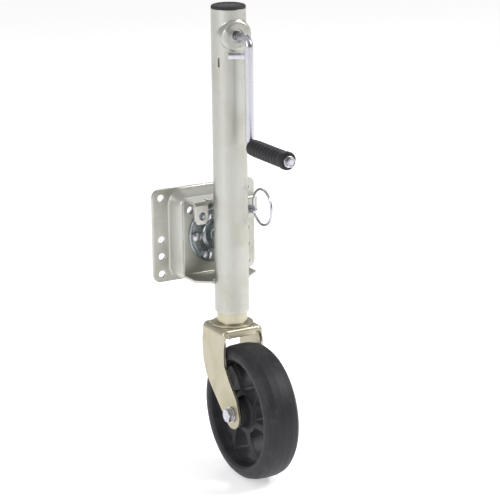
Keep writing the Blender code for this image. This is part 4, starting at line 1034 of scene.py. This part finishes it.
def fork_fittings(sizes):
    """Swivel washer, kingpin with its nut, axle bolt, washers, nut and the spacer sleeve."""
    axis, low = (0, TUBE_Y, 0), span("inner_tube")[0][2]
    washer = [(30.0, low - 0.3), (31.2, low - 1.2), (31.2, CROWN_TOP + 0.3), (8.4, CROWN_TOP + 0.3),
              (8.4, low - 0.3)]
    turned("swivel_ring", washer, axis, UP, "caster", "yellow_zinc", ["swivel_washer"], facets=sizes.facets,
           soften=0.5)
    head = CROWN_TOP - FORK_SHEET - 0.3
    pin = [(0, -84.0), (8, -84.0), (8, head), (13, head), (13, head - 3.5), (10, head - 6.5), (0, head - 6.5)]
    turned("kingpin_bolt", pin, axis, UP, "caster", "machined_steel", ["kingpin"], soften=0.7)
    nut_low = span("kingpin_nut")[0][2]
    hexagon("kingpin_lock_nut", "kingpin_nut", (0, TUBE_Y, nut_low), UP, 24.0, 11.0, "caster", "machined_steel",
            bore=8.3, both=True)
    axle = (0, AXLE_Y, AXLE_Z)
    low, high = span("axle_bolt")
    hexagon("axle_bolt_head", "axle_bolt", (low[0] + 7.0, AXLE_Y, AXLE_Z), (-1, 0, 0), 19.0, 7.0, "caster",
            turn=0.25)
    shank = [(0, low[0] + 6.0), (5.95, low[0] + 6.0), (5.95, high[0] - 14.0), (0, high[0] - 14.0)]
    turned("axle_bolt_shank", shank, axle, RIGHT, "caster", "bright_zinc", ["axle_bolt"], facets=48)
    thread = thread_mesh("thread", axle, RIGHT, 5.95, high[0] - 16.0, high[0], sizes.pitch / MM)
    piece("axle_bolt_thread", thread, "caster", "bright_zinc", ["axle_bolt"], crease=80)
    for label in ("left", "right"):
        low, high = span(f"axle_washer_{label}")
        turned(f"axle_{label}_washer", ring(12.0, 6.3, high[0], low[0]), axle, RIGHT, "caster", "bright_zinc",
               [f"axle_washer_{label}"], soften=0.4)
    low, high = span("axle_nut")
    hexagon("axle_lock_nut", "axle_nut", (low[0], AXLE_Y, AXLE_Z), RIGHT, 19.0, high[0] - low[0], "caster",
            bore=6.3, both=True, turn=0.4)
    low, high = span("axle_sleeve")
    turned("axle_spacer", ring(8.6, 6.3, high[0], low[0]), axle, RIGHT, "caster", "machined_steel", ["axle_sleeve"],
           facets=64)


def window(index, inner=33.0, outer=74.0, spoke_half=6.5, sweep_deg=16.0):
    """One opening between two swept spokes, as (radius, angle) mapped to (y, z) about the axle.

    Its sides keep the spoke's half width from the spoke's centre line, which leans by a power
    of the radius; its ends follow the hub and the rim."""
    centre = math.radians(-46 + 60 * index)

    def side(radius, sign):
        sweep = math.radians(sweep_deg) * ((radius - inner) / (outer - inner)) ** 1.3
        return centre + sweep + sign * (math.radians(30) - spoke_half / radius)

    radius = np.linspace(inner, outer, 12)
    out_angle = np.linspace(side(outer, -1), side(outer, 1), 10)[1:-1]
    in_angle = np.linspace(side(inner, 1), side(inner, -1), 6)[1:-1]
    radii = np.concatenate([radius, np.full(8, outer), radius[::-1], np.full(4, inner)])
    angles = np.concatenate([side(radius, -1), out_angle, side(radius[::-1], 1), in_angle])
    corner = np.zeros(len(radii))
    corner[[0, 11, 20, 31]] = 7.0
    outline = np.stack([-radii * np.cos(angles), radii * np.sin(angles)], 1)
    return apart(soft_corners(outline, corner))


def soft_corners(outline, corner):
    """Outline with single corners rounded over several of its points: points nearer than the
    radius to a corner are dropped before it is rounded."""
    marks = outline[corner > 0]
    gap = np.sqrt(((outline[:, None] - marks[None]) ** 2).sum(-1)).min(1)
    keep = (gap > corner.max() * 0.9) | (corner > 0)
    return rounded(outline[keep], corner[keep], steps=8)


def wheel(sizes):
    """Moulded wheel: a turned rim with a crowned tread, parting line and grooved shoulders, a
    turned hub with its boss, and between them a dished web with six swept windows."""
    low, high = span("wheel")
    axle, half, radius, web = (0, AXLE_Y, AXLE_Z), high[0], (high[2] - low[2]) / 2, 12.0
    side = [(radius - 0.2, 0.8), (radius - 0.7, 12.0), (radius - 3.0, half - 7), (radius - 7.5, half - 2),
            (radius - 13.0, half), (83.6, half), (82.4, half - 0.8), (80.0, half - 2.6), (77.5, web + 4),
            (75.0, web - 2)]
    rim = [(radius, 0.0)] + side + [(r, -x) for r, x in side[::-1]]
    turned("wheel_rim", rim[::-1], axle, RIGHT, "wheel", "wheel_plastic", ["wheel"], facets=160, soften=1.6,
           steps=5)
    hub = [(26.5, web - 2), (23.5, web + 1.5), (22.5, web + 4), (21.0, half - 1.0), (20.0, half), (13.35, half)]
    hub = hub + [(r, -x) for r, x in hub[::-1]]
    turned("wheel_hub", hub, axle, RIGHT, "wheel", "wheel_plastic", ["wheel"], facets=96, soften=1.0)
    lines = np.arange(-72, 73, 4.0), np.arange(-72, 73, 4.0)
    outline, bore = circle((0, 0), 76.2, 144), circle((0, 0), 24.5, 72)
    pattern = flat_pattern(outline, [bore] + [window(i) for i in range(6)], lines, soften=1.8, clear=2.2)

    def lay(u, v):
        return np.stack([u * 0 + web, AXLE_Y + u, AXLE_Z + v], 1)

    sheet("wheel_web", pattern, lay, 2 * web, "wheel", "wheel_plastic", ["wheel"])
    for label in ("left", "right"):
        low, high = span(f"wheel_bush_{label}")
        turned(f"wheel_{label}_bush", ring(13.0, 9.0, high[0], low[0]), axle, RIGHT, "wheel", "machined_steel",
               [f"wheel_bush_{label}"])


def welds(sizes):
    """Weld beads where the channel's shelves meet the tube, as a circle carried round an arc
    whose radius swells a little at every ripple."""
    bead = sizes.bead / MM
    for label, z, spread in (("top", SHELF_TOP, 1.0), ("low", SHELF_LOW + PLATE, 1.4), ("under", SHELF_LOW, 1.4)):
        angle = np.linspace(-spread, spread, 260)
        reach = TUBE_R + 0.5
        path = np.stack([reach * np.sin(angle), TUBE_Y + reach * np.cos(angle), angle * 0 + z], 1)
        travelled = along(path, [0.0])[2]
        ends = np.clip(np.minimum(travelled, travelled[-1] - travelled) / 2.0, 0, 1)
        swell = bead * (1 + 0.10 * np.cos(travelled * 2.9) + 0.05 * np.sin(travelled * 0.7)) * np.sqrt(ends)
        mesh = swept_mesh("bead", path, UP, np.stack([travelled, swell], 1), 20)
        piece(f"weld_bead_{label}", mesh, "jack", "zinc_plate")


def gears(sizes):
    """The two bevel gears keep their CAD solids, whose teeth are already cut, with an oiled steel finish."""
    for node in ("bevel_gear", "bevel_pinion"):
        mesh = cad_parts[node].data
        mesh.materials.clear()
        mesh.materials.append(finish("machined_steel"))


# ---- stage

EYE, AIM, ROLL = Vector((-1.4813, -2.7825, 0.8672)), Vector((0.0, -0.088, -0.0015)), math.radians(-0.755)


LIGHTS = (("key_light", (2.2, -1.6, 2.2), 0.9, 62), ("fill_light", (-2.9, -0.9, 1.2), 1.6, 26),
          ("rim_light", (0.9, 2.0, 1.8), 1.2, 12))
SKY_STRENGTH = 0.56


def stage_camera():
    """Long lens from the front left and a little above, rolled and shifted as framed."""
    camera = bpy.data.cameras.new("camera")
    camera.sensor_width, camera.lens = 36.0, 155.97
    camera.shift_x, camera.shift_y = 0.0374, -0.0136
    camera.clip_end = 50.0
    holder = bpy.data.objects.new("camera", camera)
    bpy.context.scene.collection.objects.link(holder)
    look = (AIM - EYE).to_track_quat("-Z", "Y").to_matrix().to_4x4()
    roll = Matrix.Rotation(ROLL, 4, "Z")
    holder.matrix_world = Matrix.Translation(EYE) @ look @ roll
    bpy.context.scene.camera = holder


def stage_floor():
    """Wide level sheet of paper under the wheel."""
    side = np.linspace(-14.0, 14.0, 60)
    u, v = np.meshgrid(side, side, indexing="ij")
    points = np.stack([u, v, u * 0], -1) / MM
    points[..., 2] += FLOOR_Z
    mesh = grid_mesh("studio_floor", points, wrap_columns=False)
    mesh.materials.append(studio_floor_finish())
    floor = bpy.data.objects.new("studio_floor", mesh)
    bpy.context.scene.collection.objects.link(floor)


def area_light(name, place, size, power):
    """White disc light that looks at the origin."""
    light = bpy.data.lights.new(name, "AREA")
    light.shape, light.size, light.energy = "DISK", size, power
    holder = bpy.data.objects.new(name, light)
    bpy.context.scene.collection.objects.link(holder)
    place = Vector(place)
    holder.matrix_world = Matrix.Translation(place) @ (-place).to_track_quat("-Z", "Y").to_matrix().to_4x4()


def studio_sky(strength, front_fall=0.75, back_fall=0.5):
    """Pale surround, darker in front where the camera stands and a little darker low behind: it
    falls smoothly with the direction's share along the middle of each patch."""
    s = Shade(bpy.data.worlds.new("studio"), "Generated")

    def patch(middle_of_patch, low, high):
        settings, values = {"operation": "DOT_PRODUCT"}, (s.place, Vector(middle_of_patch).normalized())
        return s.step(s.add("ShaderNodeVectorMath", settings, values, "Value"), low, high)

    fall = patch((0.12, -1.0, 0.05), 0.55, 0.92) * front_fall + patch((0.5, 0.85, 0.3), 0.4, 0.95) * back_fall
    glow = s.add("ShaderNodeBackground", None, {"Color": (1, 1, 1, 1), "Strength": (1 - fall) * strength})
    s.add("ShaderNodeOutputWorld", None, {"Surface": glow})
    bpy.context.scene.world = s.holder


# ---- operators

def operator(make):
    """The operator class of one maker: its name, label and note are the maker's own."""

    def execute(self, context):
        make(context.scene.jack_sizes)
        return {"FINISHED"}

    name = make.__name__
    body = {"bl_idname": "jack." + name, "bl_label": name.replace("_", " ").capitalize(), "__doc__": make.__doc__,
            "execute": execute, "bl_options": {"REGISTER", "UNDO"}}
    return type("JACK_OT_" + name, (bpy.types.Operator,), body)


class JACK_OT_stage(bpy.types.Operator):
    """Make the camera, the paper floor, the lights and the surround"""
    bl_idname, bl_label, bl_options = "jack.stage", "Stage", {"REGISTER", "UNDO"}

    def execute(self, context):
        stage_camera()
        stage_floor()
        for light in LIGHTS:
            area_light(*light)
        studio_sky(SKY_STRENGTH)
        context.scene.view_settings.view_transform = "Standard"
        return {"FINISHED"}


MAKERS = (pressed_bracket, swivel_channel, turntable, turntable_bolts, lock_pin, outer_tube, tube_cap, crank_bushes,
          crank_clip, crank_arm, crank_grip, lifting_screw, ram, fork, fork_fittings, wheel, welds, gears)
ORDER = [JACK_OT_stage, *map(operator, MAKERS)]


class JACK_PT_panel(bpy.types.Panel):
    """Sidebar panel with the sizes, the colours and a button for each piece"""
    bl_label, bl_space_type, bl_region_type, bl_category = "Tongue jack", "VIEW_3D", "UI", "Jack"

    def draw(self, context):
        for settings in (context.scene.jack_sizes, context.scene.jack_finishes):
            for name in settings.__annotations__:
                self.layout.prop(settings, name)
        for each in ORDER:
            self.layout.operator(each.bl_idname)


CLASSES = [JackFinishes, JackSizes, *ORDER, JACK_PT_panel]


def register():
    for each in CLASSES:
        bpy.utils.register_class(each)
    bpy.types.Scene.jack_finishes = bpy.props.PointerProperty(type=JackFinishes)
    bpy.types.Scene.jack_sizes = bpy.props.PointerProperty(type=JackSizes)


def unregister():
    del bpy.types.Scene.jack_sizes
    del bpy.types.Scene.jack_finishes
    for each in reversed(CLASSES):
        bpy.utils.unregister_class(each)


def main():
    register()
    for each in ORDER:
        group, name = each.bl_idname.split(".")
        getattr(getattr(bpy.ops, group), name)()


if __name__ == "__main__":
    main()
